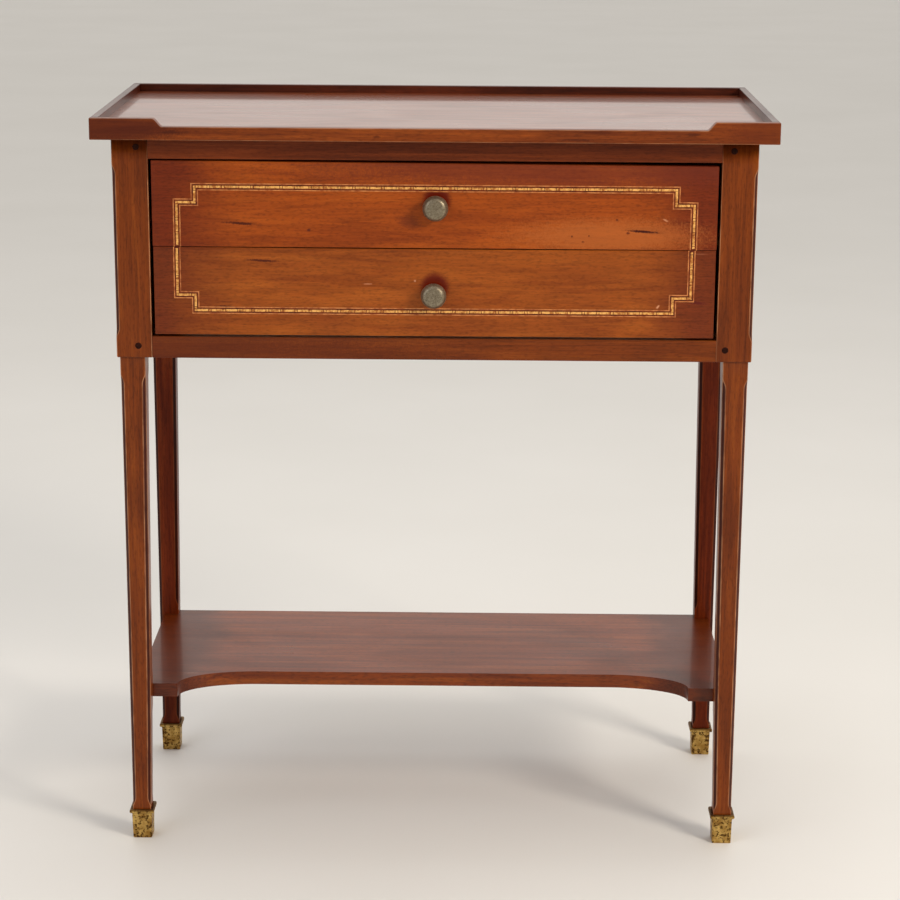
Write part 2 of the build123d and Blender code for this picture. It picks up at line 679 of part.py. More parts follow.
keep("sabot_pins", Compound([p.solids()[0] for p in pins]))
keep("rail_pegs", Compound([peg.solids()[0] for peg in pegs]))
keep("tray_screws", Compound([screw.solids()[0] for screw in tray_screws]))
keep("runner_screws", Compound([screw.solids()[0] for screw in runner_screws]))
keep("drawer_stops", Compound([stop.solids()[0] for stop in stops]))
UPPER_TOPS = (DRAWER_TOP + TOP_SLOPE / 2, DRAWER_TOP, DRAWER_TOP - TOP_SLOPE / 2)
LOWER_MIDDLE = SEAM - SEAM_GAP / 2
LOWER_TOPS = (LOWER_MIDDLE + SEAM_BOW, LOWER_MIDDLE, LOWER_MIDDLE + SEAM_BOW)
drawer("upper", SEAM + SEAM_GAP / 2, UPPER_TOPS,
       (UPPER_RUNNER_TOP + SLIDE_GAP, UPPER_SIDE_TOP),
       UPPER_FRONT_HALF_X, UPPER_INLAY, (UPPER_KNOB_X, UPPER_KNOB_RISE), True)
drawer("lower", DRAWER_BOTTOM, LOWER_TOPS,
       (LOWER_RUNNER_TOP + SLIDE_GAP, LOWER_SIDE_TOP),
       LOWER_FRONT_HALF_X, LOWER_INLAY, (LOWER_KNOB_X, LOWER_KNOB_RISE), False)

for name, shape in nodes.items():
    export_step(shape, f"parts/{name}.step")
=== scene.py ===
"""Looks of a small mahogany side table: tray top, two inlaid drawers, tapered legs, low shelf.

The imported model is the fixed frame.  Legs, tray edging, knobs, foot cups and pegs are rebuilt
here as worked-out surfaces; the boards keep their own meshes and get eased edges.  Every piece is
dressed with a procedural finish whose pattern sizes are real ones, in millimetres.
"""
import logging
import math
from dataclasses import dataclass, replace
from enum import Enum
from typing import Any, Callable, Sequence

import bmesh
import bpy
import numpy as np
from mathutils import Matrix, Vector

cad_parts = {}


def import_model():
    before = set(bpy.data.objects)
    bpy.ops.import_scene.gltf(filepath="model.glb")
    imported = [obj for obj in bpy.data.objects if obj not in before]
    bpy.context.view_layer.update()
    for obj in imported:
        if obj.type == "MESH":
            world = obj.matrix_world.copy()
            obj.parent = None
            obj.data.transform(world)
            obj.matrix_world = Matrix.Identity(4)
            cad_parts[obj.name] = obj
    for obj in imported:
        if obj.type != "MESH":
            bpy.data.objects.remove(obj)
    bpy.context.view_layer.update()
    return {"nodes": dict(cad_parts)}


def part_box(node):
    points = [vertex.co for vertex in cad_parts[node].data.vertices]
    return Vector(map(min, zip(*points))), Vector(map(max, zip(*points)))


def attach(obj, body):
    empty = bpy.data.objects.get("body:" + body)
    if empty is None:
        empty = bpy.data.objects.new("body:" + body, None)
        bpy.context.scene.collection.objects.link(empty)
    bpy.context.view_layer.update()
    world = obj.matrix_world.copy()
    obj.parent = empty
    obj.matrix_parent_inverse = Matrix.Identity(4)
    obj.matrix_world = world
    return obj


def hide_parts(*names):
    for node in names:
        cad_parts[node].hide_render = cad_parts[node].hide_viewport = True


LOG = logging.getLogger("side_table")
MM = 0.001
MIX_A, MIX_B, MIX_RESULT = 6, 7, 2          # colour sockets of a Mix node
EASE = 0.35 * MM                            # every worked edge is rubbed down at least this much
ROUND = 0.55 * MM                           # ... and turns over within this distance
MERGE = 0.005 * MM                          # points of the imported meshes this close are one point
SMOOTH = {"interpolation_type": "SMOOTHSTEP"}


# ------------------------------------------------------------------ shader helpers
def linear(hex_colour: str) -> tuple[float, float, float, float]:
    """Turn an sRGB colour into the linear values that shaders take.

    Args:
        hex_colour: six hex digits after a hash.

    Returns:
        Red, green, blue and an alpha of one.
    """
    values = [int(hex_colour[i:i + 2], 16) / 255 for i in (1, 3, 5)]
    bent = [v / 12.92 if v <= 0.04045 else ((v + 0.055) / 1.055) ** 2.4 for v in values]
    return bent[0], bent[1], bent[2], 1.0


def add_node(tree: bpy.types.NodeTree, kind: str, inputs: dict[Any, Any] | list[Any] = (),
             out: int | str = 0, **settings: Any) -> bpy.types.NodeSocket | None:
    """Add a shader node with its settings and links.

    Args:
        tree: the material's or world's node tree.
        kind: the node's type, without the leading "ShaderNode".
        inputs: what goes into each input, by name or number, or a list in the node's own
            order.  A socket is linked, and anything else is a plain value.
        out: which output to return, by number or name.
        settings: attributes of the node.

    Returns:
        That output of the new node, or nothing for a node that has none.
    """
    node = tree.nodes.new("ShaderNode" + kind)
    for name, value in settings.items():
        setattr(node, name, value)
    for key, value in (inputs.items() if isinstance(inputs, dict) else enumerate(inputs)):
        if isinstance(value, bpy.types.NodeSocket):
            tree.links.new(value, node.inputs[key])
        else:
            node.inputs[key].default_value = value
    return node.outputs[out] if node.outputs else None


def layered(tree: bpy.types.NodeTree, base: Any, *layers: tuple[Any, Any]) -> Any:
    """Lay colours over a base colour, one after another.

    Args:
        tree: the node tree.
        base: the lowest colour, a socket or a plain one.
        layers: how much each layer covers, from 0 to 1, and its colour.

    Returns:
        The colour on top.
    """
    for share, colour in layers:
        base = add_node(tree, "Mix", {0: share, MIX_A: base, MIX_B: colour}, MIX_RESULT,
                        data_type="RGBA")
    return base


def new_material(name: str) -> tuple[bpy.types.Material, bpy.types.NodeTree]:
    """Make an empty node material.

    Args:
        name: what the finish is, and on which piece.

    Returns:
        The material and its empty node tree.
    """
    material = bpy.data.materials.new(name)
    material.use_nodes = True
    material.node_tree.nodes.clear()
    return material, material.node_tree


class Grain(Enum):
    """The axis along which a board's fibres run."""

    ACROSS = 0          # left to right, along X
    DEEP = 1            # front to back, along Y
    UPRIGHT = 2         # along Z

    def stretched(self, along: float, across: float) -> tuple[float, float, float]:
        """Scales for a Mapping node, in repeats per metre.

        Args:
            along: length of one feature along the fibres, in millimetres.
            across: its width across them, in millimetres.

        Returns:
            The scale on each axis.
        """
        scale = [1 / (across * MM)] * 3
        scale[self.value] = 1 / (along * MM)
        return scale[0], scale[1], scale[2]


# ------------------------------------------------------------------ finishes
@dataclass(frozen=True)
class Mark:
    """A dent, scratch or worn patch, or a patch of painted shade, shadow or reflection, at a place
    on a piece.

    The mark is an ellipsoid: at is its centre and size its half lengths, in millimetres, and
    tilt turns it in the plane of the drawer fronts, in degrees.
    """

    at: tuple[float, float, float]
    size: tuple[float, float, float]
    colour: str
    strength: float = 0.85
    tilt: float = 0.0
    ragged: float = 0.9             # how far its outline wanders, as a share of its size
    faded: float = 0.7              # width of its faded rim, likewise


@dataclass(frozen=True)
class PolishedWood:
    """Cabinet wood under French polish: stained fibres below a clear, hand-rubbed skin.

    What the eye gets: broad soft figure, finer streaks along the fibres, dark pores as short
    dashes, patches where the stain took more, and a gloss that isn't quite even.
    """

    name: str
    light: str
    middle: str
    dark: str
    patina: str                     # where stain and old wax gathered; darker ends and chamfer faces take it too, partly as painted shade
    figure: tuple[float, float] = (190.0, 8.0)      # length and width of the figure, mm
    streak: tuple[float, float] = (38.0, 1.3)
    pore: tuple[float, float] = (6.5, 1.5)          # drawn coarser than real pores, to show
    streak_depth: float = 0.16
    pore_depth: float = 0.24
    patina_depth: float = 0.45
    roughness: tuple[float, float] = (0.28, 0.42)
    coat: float = 0.12
    coat_roughness: float = 0.16
    specular: float = 0.12
    worn_and_highlight_colour: str = "#b57f54"           # bare, rubbed wood on the arrises, which also paints the highlight along them
    wear_and_highlight_depth: float = 0.0
    relief: float = 0.05            # height of the open grain, mm

    def material(self, piece: str, grain: Grain, seed: int,
                 darker_ends: tuple[float, float, float] | None = None,
                 marks: Sequence[Mark] = ()) -> bpy.types.Material:
        """Build the material for one piece.

        Args:
            piece: the piece's name in plain words.
            grain: the way that its fibres run.
            seed: which part of the log the piece is cut from.
            darker_ends: distance from the middle, in millimetres, where the colour starts to darken
                towards the patina colour and where it is darkest, and how dark it gets there, from
                0 to 1; on the shelf this darkening is a painted reflection of the legs.
            marks: dents, scratches and patches, some of them painted shade, shadow or reflection.

        Returns:
            The material.
        """
        material, tree = new_material(f"{self.name}, {piece}")
        coords = add_node(tree, "TexCoord", out="Object")
        turn = 0.37 * seed if grain is Grain.UPRIGHT else 0.0
        board = add_node(tree, "Mapping", {
            "Vector": coords, "Rotation": (0.0, 0.0, turn),
            "Location": (0.61 * seed, 0.83 * math.sin(seed), 0.29 * seed)})

        figure = self._pattern(tree, board, grain, self.figure, 3.0, 0.9)
        streak = self._pattern(tree, board, grain, self.streak, 4.0, 0.2)
        pore = self._pattern(tree, board, grain, self.pore, 1.0, 0.0)
        cloud = self._pattern(tree, board, grain, (130.0, 60.0), 2.0, 0.5)

        # noise keeps within about 0.3 and 0.7, so the ranges below start and end inside that
        colour = add_node(tree, "ValToRGB", [figure])
        colour.node.color_ramp.interpolation = "EASE"
        stops = colour.node.color_ramp.elements
        stops.new(0.5).color = linear(self.middle)
        for stop, place, tone in ((stops[0], 0.34, self.dark), (stops[-1], 0.66, self.light)):
            stop.position = place
            stop.color = linear(tone)
        streaked = add_node(tree, "MapRange", [
            streak, 0.34, 0.66, 1.0 - self.streak_depth, 1.0 + 0.7 * self.streak_depth])
        pored = add_node(tree, "MapRange", [pore, 0.50, 0.70, 1.0, 1.0 - self.pore_depth])
        shade = add_node(tree, "Math", [streaked, pored], operation="MULTIPLY")
        colour = add_node(tree, "VectorMath", {0: colour, "Scale": shade}, operation="SCALE")
        stain = add_node(tree, "VectorMath", {0: linear(self.patina)[:3], "Scale": shade},
                         operation="SCALE")

        patina_and_dark_ends = add_node(tree, "MapRange", [cloud, 0.42, 0.76, 0.0, self.patina_depth],
                            **SMOOTH)
        # darker ends: a change of tone on the drawer fronts, and on the shelf a painted reflection
        # of the dark legs
        if darker_ends:
            start, end, depth = darker_ends
            wander = 90 * MM                # how far the edge of the darkened ends strays, end to end
            across = add_node(tree, "SeparateXYZ", [coords])
            reach = add_node(tree, "Math", [across], operation="ABSOLUTE")
            ragged = add_node(tree, "Math", [cloud, wander, reach], operation="MULTIPLY_ADD")
            ends = add_node(tree, "MapRange", [
                ragged, start * MM + wander / 2, end * MM + wander / 2, 0.0, depth], **SMOOTH)
            patina_and_dark_ends = add_node(tree, "Math", [patina_and_dark_ends, ends], operation="MAXIMUM")
        layers = [(patina_and_dark_ends, stain)]
        # arrises turn pale, partly wear and partly painted highlight; chamfer faces take the patina
        # colour, partly stain and partly painted shade
        if self.wear_and_highlight_depth > 0:
            patchy = add_node(tree, "MapRange", [
                self._pattern(tree, board, grain, (26.0, 6.0), 3.0, 0.6), 0.38, 0.62,
                0.3 * self.wear_and_highlight_depth, self.wear_and_highlight_depth])
            stain_and_shade = add_node(tree, "Attribute", out="Fac", attribute_name="stained")
            wear_and_highlight = add_node(tree, "Attribute", out="Fac", attribute_name="wear_and_highlight")
            wear_and_highlight = add_node(tree, "Math", [wear_and_highlight, patchy], operation="MULTIPLY")
            layers += [(stain_and_shade, stain), (wear_and_highlight, linear(self.worn_and_highlight_colour))]
        layers += [(self._share(tree, coords, board, mark), linear(mark.colour))
                   for mark in marks]

        gloss = add_node(tree, "MapRange", [cloud, 0.2, 0.8, *self.roughness], **SMOOTH)
        # polish lies over the fibres in slow waves, about 0.02 mm high
        wave = add_node(tree, "Bump", {
            "Height": self._pattern(tree, board, grain, (45.0, 14.0), 1.0, 0.0),
            "Strength": 0.4, "Distance": 0.02 * MM})
        open_grain = add_node(tree, "Math", [streak, pored], operation="ADD")
        relief = add_node(tree, "Bump", {
            "Height": open_grain, "Strength": 0.6, "Distance": self.relief * MM, "Normal": wave})
        shader = add_node(tree, "BsdfPrincipled", {
            "Base Color": layered(tree, colour, *layers), "Roughness": gloss, "IOR": 1.5,
            "Normal": relief, "Specular IOR Level": self.specular, "Coat Weight": self.coat,
            "Coat Roughness": self.coat_roughness, "Coat IOR": 1.5, "Coat Normal": wave})
        add_node(tree, "OutputMaterial", [shader])
        return material

    @staticmethod
    def _pattern(tree: bpy.types.NodeTree, coords: bpy.types.NodeSocket, grain: Grain,
                 size: tuple[float, float], detail: float,
                 distortion: float) -> bpy.types.NodeSocket:
        """Noise drawn out along the fibres.

        Args:
            tree: the material's node tree.
            coords: where on the board, in metres.
            grain: the way that the fibres run.
            size: length and width of a feature, in millimetres.
            detail: octaves of finer noise.
            distortion: how far the noise is pulled about.

        Returns:
            The noise's value, around 0.5.
        """
        scaled = add_node(tree, "Mapping", {"Vector": coords, "Scale": grain.stretched(*size)})
        return add_node(tree, "TexNoise", {
            "Vector": scaled, "Scale": 1.0, "Detail": detail, "Roughness": 0.55,
            "Distortion": distortion})

    @staticmethod
    def _share(tree: bpy.types.NodeTree, coords: bpy.types.NodeSocket,
               board: bpy.types.NodeSocket, mark: Mark) -> bpy.types.NodeSocket:
        """How much one mark covers, from its strength inside to nothing past its ragged rim.

        Args:
            tree: the material's node tree.
            coords: the piece's own coordinates, in metres.
            board: the board's coordinates, for the ragged outline.
            mark: the mark.

        Returns:
            The share.
        """
        turned = add_node(tree, "Mapping", {
            "Vector": coords, "Location": [v * MM for v in mark.at],
            "Rotation": (0.0, math.radians(mark.tilt), 0.0),
            "Scale": [v * MM for v in mark.size]}, vector_type="TEXTURE")
        reach = add_node(tree, "VectorMath", [turned], "Value", operation="LENGTH")
        noise = add_node(tree, "TexNoise", {"Vector": board, "Scale": 700.0, "Detail": 2.0})
        reach = add_node(tree, "Math", [noise, mark.ragged, reach], operation="MULTIPLY_ADD")
        rim = 0.65 + 0.5 * mark.ragged      # the middle of the faded rim
        return add_node(tree, "MapRange", [
            reach, rim - mark.faded / 2, rim + mark.faded / 2, mark.strength, 0.0], **SMOOTH)


@dataclass(frozen=True)
class OldMetal:
    """Metal with tarnish over it: bright where it is rubbed, dull and brown in its pits.

    What the eye gets: a soft sheen broken by darker spots, with no clear reflection.
    """

    name: str
    bright: str
    dull: str
    pit: str
    pit_size: float                 # width of the pits, mm
    pit_level: tuple[float, float]  # noise values where pits begin and end
    blotch: float                   # size of the duller patches, mm
    roughness: tuple[float, float]
    relief: float                   # depth of the pits, mm
    metallic: float = 1.0
    darker_above: float | None = None   # height in mm above which the colour darkens towards the pit colour

    def material(self, piece: str, seed: int) -> bpy.types.Material:
        """Build the material for one piece.

        Args:
            piece: the piece's name in plain words.
            seed: shifts the pattern.

        Returns:
            The material.
        """
        material, tree = new_material(f"{self.name}, {piece}")
        coords = add_node(tree, "TexCoord", out="Object")
        moved = add_node(tree, "Mapping", {
            "Vector": coords, "Location": (0.31 * seed, 0.17 * seed, 0.0)})
        cloud = add_node(tree, "TexNoise", {
            "Vector": moved, "Scale": 1 / (self.blotch * MM), "Detail": 3.0})
        pits = add_node(tree, "TexNoise", {
            "Vector": moved, "Scale": 1 / (self.pit_size * MM), "Detail": 3.0,
            "Roughness": 0.65, "Distortion": 0.4})
        tone = add_node(tree, "MapRange", [cloud, 0.38, 0.62])
        pitted = add_node(tree, "MapRange", [pits, *self.pit_level])
        layers = [(tone, linear(self.dull)), (pitted, linear(self.pit))]
        if self.darker_above is not None:
            height = add_node(tree, "SeparateXYZ", [coords], "Z")
            above = add_node(tree, "MapRange", [
                height, (self.darker_above - 0.6) * MM, (self.darker_above + 0.6) * MM,
                0.0, 0.86])
            layers.append((above, linear(self.pit)))
        rough = add_node(tree, "MapRange", [pits, 0.35, 0.7, *self.roughness])
        sunk = add_node(tree, "Bump", {
            "Height": pitted, "Strength": 0.8, "Distance": self.relief * MM}, invert=True)
        shader = add_node(tree, "BsdfPrincipled", {
            "Base Color": layered(tree, linear(self.bright), *layers),
            "Metallic": self.metallic, "Roughness": rough, "Normal": sunk})
        add_node(tree, "OutputMaterial", [shader])
        return material


@dataclass(frozen=True)
class Stringing:
    """Thin strips and chips of pale or dark wood let into the drawer fronts.

    What the eye gets: each chip a little lighter or browner than its neighbour, with polish
    over all of it.
    """

    name: str
    light: str
    dark: str
    chip: float                     # size over which the tone changes, mm

    def material(self, piece: str, seed: int) -> bpy.types.Material:
        """Build the material for one piece.

        Args:
            piece: the piece's name in plain words.
            seed: shifts the pattern.

        Returns:
            The material.
        """
        material, tree = new_material(f"{self.name}, {piece}")
        moved = add_node(tree, "Mapping", {
            "Vector": add_node(tree, "TexCoord", out="Object"),
            "Location": (0.21 * seed, 0.0, 0.13 * seed)})
        tone = add_node(tree, "TexNoise", {
            "Vector": moved, "Scale": 1 / (self.chip * MM), "Detail": 2.0, "Roughness": 0.7})
        colour = add_node(tree, "ValToRGB", [tone])
        for stop, place, shade in zip(colour.node.color_ramp.elements, (0.36, 0.60),
                                      (self.dark, self.light)):
            stop.position = place
            stop.color = linear(shade)
        shader = add_node(tree, "BsdfPrincipled", {
            "Base Color": colour, "IOR": 1.5, "Specular IOR Level": 0.15, "Coat Weight": 0.1,
            "Roughness": add_node(tree, "MapRange", [tone, 0.3, 0.7, 0.30, 0.44]),
            "Coat Roughness": 0.15})
        add_node(tree, "OutputMaterial", [shader])
        return material


# mahogany frame: orange brown where it faces the light, with paler arrises, partly rubbed wood and
# partly painted highlight
FRAME_WOOD = PolishedWood(
    "french polished mahogany", "#803d0f", "#75350c", "#682e0a", "#3a0c03",
    streak=(45.0, 1.4), patina_depth=0.38, wear_and_highlight_depth=0.85, worn_and_highlight_colour="#c48c62")
# the rear legs stand in the table's own shade: this darker, duller copy of the frame wood paints
# that shade into their colour
SHADED_WOOD = replace(
    FRAME_WOOD, name="mahogany with painted shade", light="#6e2c0e", middle="#60220a",
    dark="#501a07", patina="#2c0903", patina_depth=0.35, wear_and_highlight_depth=0.5, worn_and_highlight_colour="#8f5028",
    coat=0.06, specular=0.06)
# the rails are cut from a browner, quieter board
RAIL_WOOD = PolishedWood(
    "french polished mahogany rail", "#7a3716", "#6d2f11", "#5f280e", "#46190a",
    patina_depth=0.3, coat=0.1, specular=0.1)
# top and shelf carry the glossiest skin, and mirror what stands behind them
TOP_WOOD = PolishedWood(
    "high gloss mahogany", "#8c4620", "#7d3a18", "#6a2e10", "#4d1c0a",
    figure=(260.0, 9.0), streak=(70.0, 2.4), streak_depth=0.24, pore_depth=0.35,
    patina_depth=0.3, roughness=(0.24, 0.36), coat=0.62, coat_roughness=0.07, specular=0.36)
SHELF_WOOD = PolishedWood(
    "high gloss mahogany shelf", "#85400f", "#78340c", "#682a08", "#4c1b05",
    figure=(260.0, 10.0), streak=(60.0, 2.0), streak_depth=0.18, pore_depth=0.35,
    patina_depth=0.3, roughness=(0.26, 0.38), coat=0.24, coat_roughness=0.08, specular=0.16)
EDGE_WOOD = PolishedWood(
    "french polished mahogany edging", "#874012", "#7a370e", "#682c0a", "#461605",
    figure=(140.0, 7.0), streak_depth=0.18, pore_depth=0.26, patina_depth=0.6, wear_and_highlight_depth=0.6,
    specular=0.14)
# the gallery wood is nearly black, and shines along its top
GALLERY_WOOD = replace(EDGE_WOOD, light="#54200c", middle="#461806", dark="#371004",
                       patina="#260803", worn_and_highlight_colour="#8f6242", coat=0.4, coat_roughness=0.12)
# drawer fronts: cherry veneer, redder and purplish towards the ends
FRONT_WOOD = PolishedWood(
    "french polished cherry veneer", "#a34d12", "#98450f", "#8a3c0c", "#65220a",
    figure=(150.0, 14.0), streak=(26.0, 1.6), pore=(4.5, 1.5), patina_depth=0.25,
    roughness=(0.32, 0.46), coat_roughness=0.2)
# the lower front is browner veneer from another leaf
LOWER_WOOD = replace(FRONT_WOOD, light="#9e5219", middle="#944a15", dark="#864011",
                     patina="#64270f")
# drawer linings and runners: planed oak, never polished
LINING_WOOD = PolishedWood(
    "planed oak lining", "#b88c5c", "#a47a4c", "#8c643c", "#775334", figure=(160.0, 8.0),
    pore=(8.0, 1.0), streak_depth=0.30, pore_depth=0.35, patina_depth=0.5,
    roughness=(0.55, 0.7), coat=0.0, specular=0.3, relief=0.08)
PEG_WOOD = PolishedWood(
    "end grain of a stained peg", "#3a1a10", "#2a110b", "#1c0b07", "#140806",
    figure=(3.0, 1.5), streak=(2.0, 0.6), streak_depth=0.30, pore_depth=0.35,
    roughness=(0.5, 0.65), coat=0.0, specular=0.05)

BOX_LINE = Stringing("boxwood line", "#c57f48", "#96522a", 7.0)
MAPLE_CHIP = Stringing("maple tessera", "#e6ae60", "#a5642c", 3.4)
DARK_GROUND = Stringing("ebonised ground", "#6c2a0e", "#4a1808", 6.0)

KNOB_METAL = OldMetal("tarnished nickel", "#8e8470", "#7b705c", "#574e3e", 1.0, (0.52, 0.70),
                      1.8, (0.40, 0.52), 0.03, metallic=0.8)
CUP_METAL = OldMetal("pitted brass", "#d2b066", "#a27c3e", "#583a1c", 3.4, (0.50, 0.60),
                     8.0, (0.38, 0.62), 0.12, darker_above=28.4)
SCREW_METAL = OldMetal("plain steel", "#8c8c8a", "#6f6f6d", "#4a4744", 1.2, (0.55, 0.7),
                       4.0, (0.35, 0.5), 0.02)


# ------------------------------------------------------------------ mesh helpers
def chamfered_section(x: np.ndarray, y: np.ndarray, cuts: np.ndarray) -> np.ndarray:
    """Sections of a squared bar with a cut and rounded-over arris at each corner.

    Each corner is a chamfer of the given width whose two arrises are quadratic curves that
    start ROUND away, so a corner with the smallest cut is simply rounded.  Two more points
    stand 0.3 of the way in from the ends of the chamfer's flat face.

    Args:
        x: lowest and highest x of each section, shape (n, 2).
        y: lowest and highest y of each section, shape (n, 2).
        cuts: chamfer width at the corners (low x, low y), (high x, low y), (high x, high y)
            and (low x, high y), shape (n, 4).

    Returns:
        Points in order, seen from +Z against the clock, shape (n, 32, 2).
    """
    corners = np.stack([np.stack([x[:, 0], y[:, 0]], 1), np.stack([x[:, 1], y[:, 0]], 1),
                        np.stack([x[:, 1], y[:, 1]], 1), np.stack([x[:, 0], y[:, 1]], 1)], 1)
    incoming = np.array([(0, -1), (1, 0), (0, 1), (-1, 0)], float)
    outgoing = np.array([(1, 0), (0, 1), (-1, 0), (0, -1)], float)
    cut = np.maximum(cuts, EASE)
    turn = np.minimum(0.7 * ROUND, 0.4 * cut)
    zero = np.zeros_like(cut)
    first = np.stack([cut + ROUND, zero], -1)
    second = np.stack([cut - turn, turn], -1)
    bend = 0.25 * first + 0.5 * np.stack([cut, zero], -1) + 0.25 * second
    third = second + 0.3 * (second[..., ::-1] - second)
    half = np.stack([first, bend, second, third], 2)
    local = np.concatenate([half, half[:, :, ::-1, ::-1]], 2)
    points = (corners[:, :, None, :] - local[..., :1] * incoming[None, :, None, :]
              + local[..., 1:] * outgoing[None, :, None, :])
    return points.reshape(len(cut), -1, 2)


def corner_share(cuts: np.ndarray) -> tuple[np.ndarray, np.ndarray]:
    """How pale each point of chamfered sections turns, from wear and painted highlight, and how
    dark, from stain and painted shade.

    Arrises are rubbed and flat sides are not, and the pale arris also paints the highlight that it
    catches; the face of a real chamfer is darkened, partly as stain and partly as painted shade,
    and a corner that is only eased is rubbed all over.

    Args:
        cuts: chamfer widths, shape (n, 4).

    Returns:
        Wear with painted highlight, and stain with painted shade, from 0 to 1, each of shape (n,
        32).
    """
    face = np.clip(cuts / (1.5 * MM), 0.0, 1.0)[..., None]
    # arris: pale wear, which also paints the highlight along the arris; inside: chamfer faces
    # darkened, partly stain and partly painted shade
    arris = np.array([0.0, 1.0, 0.3, 0.0, 0.0, 0.3, 1.0, 0.0])
    inside = np.array([0.0, 0.0, 0.85, 1.0, 1.0, 0.85, 0.0, 0.0])
    wear_and_highlight = arris + (1 - face) * np.array([0.0, 0.0, 0.2, 0.9, 0.9, 0.2, 0.0, 0.0])
    return wear_and_highlight.reshape(len(cuts), -1), (face * inside).reshape(len(cuts), -1)


def outward_faces(rings: np.ndarray) -> list[tuple[int, ...]]:
    """Faces that close a stack of rings, turned outwards by the sign of the enclosed volume.

    Args:
        rings: points, shape (rings, points in a ring, 3).

    Returns:
        Point numbers of each face: four-sided ones between the rings, then one over each end.
    """
    count, around = rings.shape[:2]
    points = rings.reshape(-1, 3)
    level, step = np.meshgrid(np.arange(count - 1), np.arange(around), indexing="ij")
    a = level * around + step
    b = level * around + (step + 1) % around
    quads = np.stack([a, b, b + around, a + around], -1).reshape(-1, 4)
    caps = [np.arange(around)[::-1], np.arange(around) + (count - 1) * around]
    corners = points[quads]
    volume = sum(np.einsum("ij,ij->i", corners[:, 0],
                           np.cross(corners[:, i], corners[:, i + 1])).sum() for i in (1, 2))
    for cap in caps:
        ends = points[cap]
        volume += np.einsum("j,ij->i", ends[0], np.cross(ends[1:-1], ends[2:])).sum()
    turn = 1 if volume > 0 else -1
    return [tuple(map(int, face[::turn])) for face in [*quads, *caps]]


def skinned(name: str, *stacks: np.ndarray,
            wear: tuple[np.ndarray, np.ndarray] | None = None) -> bpy.types.Object:
    """Close stacks of rings into one piece, each a closed shell of its own.

    Args:
        name: the piece's name.
        stacks: points, each of shape (rings, points in a ring, 3).
        wear: how pale each point is, from wear and painted highlight, and how dark, from stain and
            painted shade, each from 0 to 1, two arrays of shape (rings, points in a ring).

    Returns:
        The new object, in place.
    """
    faces: list[tuple[int, ...]] = []
    offset = 0
    for rings in stacks:
        faces += [tuple(v + offset for v in face) for face in outward_faces(rings)]
        offset += rings.shape[0] * rings.shape[1]
    mesh = bpy.data.meshes.new(name)
    mesh.from_pydata(np.concatenate([r.reshape(-1, 3) for r in stacks]).tolist(), [], faces)
    mesh.polygons.foreach_set("use_smooth", np.ones(len(faces), bool))
    # point attributes for the pale arrises (wear and painted highlight) and the dark chamfer faces
    # (stain and painted shade)
    for label, values in zip(("wear_and_highlight", "stained"), wear or ()):
        attribute = mesh.attributes.new(label, "FLOAT", "POINT")
        attribute.data.foreach_set("value", values.reshape(-1).astype(np.float32))
    mesh.update()
    piece = bpy.data.objects.new(name, mesh)
    bpy.context.scene.collection.objects.link(piece)
    return piece


def eased_bar(name: str, half: float, stations: np.ndarray, roll: tuple[float, float],
              y: tuple[float, float], low: float,
              top: Callable[[np.ndarray], np.ndarray]) -> bpy.types.Object:
    """Carry an eased section along X, from one end to the other.

    Near each end the section shrinks by a fraction of a millimetre, so that the ends' own
    edges are rubbed down too.

    Args:
        name: the piece's name.
        half: half the bar's length.
        stations: places between the middle and the right end where the section is drawn.
        roll: distances from the end at which two more sections stand, in millimetres; the
            section at the very end is smaller by the larger of them.
        y: lowest and highest y.
        low: lowest z.
        top: height of the upper face at an x.

    Returns:
        The new object, in place.
    """
    rolls = np.array([0.0, *roll]) * MM
    ends = half - rolls
    right = np.unique(np.concatenate([stations, ends]))
    x = np.concatenate([-right[:0:-1], right])
    shrink = np.interp(np.abs(x), ends[::-1], rolls)
    y_sides = np.stack([y[0] + shrink, y[1] - shrink], 1)
    z_sides = np.stack([low + shrink, top(x) - shrink], 1)
    cuts = np.full((len(x), 4), EASE)
    section = chamfered_section(y_sides, z_sides, cuts)
    along = np.broadcast_to(x[:, None, None], section.shape[:2] + (1,))
    return skinned(name, np.concatenate([along, section], 2), wear=corner_share(cuts))


def weighted(piece: bpy.types.Object) -> None:
    """Shade flats as flats and arrises as curves, by the area of the faces."""
    shading = piece.modifiers.new("shading", "WEIGHTED_NORMAL")
    shading.weight = 60
    shading.keep_sharp = True


def cut_out(piece: bpy.types.Object, *solids: bpy.types.Object) -> None:
    """Cut pockets in a new piece for solids that are let into it, such as dovetails.

    Args:
        piece: the new piece, whose mesh is exchanged for the cut one.
        solids: CAD nodes, which stay as they are.
    """
    cutters = []
    for solid in solids:
        shell = bmesh.new()
        shell.from_mesh(solid.data)
        bmesh.ops.remove_doubles(shell, verts=shell.verts[:], dist=MERGE)
        mesh = bpy.data.meshes.new("cutter")
        shell.to_mesh(mesh)
        shell.free()
        cutter = bpy.data.objects.new("cutter", mesh)
        bpy.context.scene.collection.objects.link(cutter)
        cutters.append(cutter)
        pocket = piece.modifiers.new("pocket", "BOOLEAN")
        pocket.operation = "DIFFERENCE"
        pocket.solver = "EXACT"
        pocket.object = cutter
    graph = bpy.context.evaluated_depsgraph_get()
    mesh = bpy.data.meshes.new_from_object(piece.evaluated_get(graph))
    mesh.set_sharp_from_angle(angle=math.radians(50))
    piece.modifiers.clear()
    piece.data = mesh
    for cutter in cutters:
        bpy.data.objects.remove(cutter)


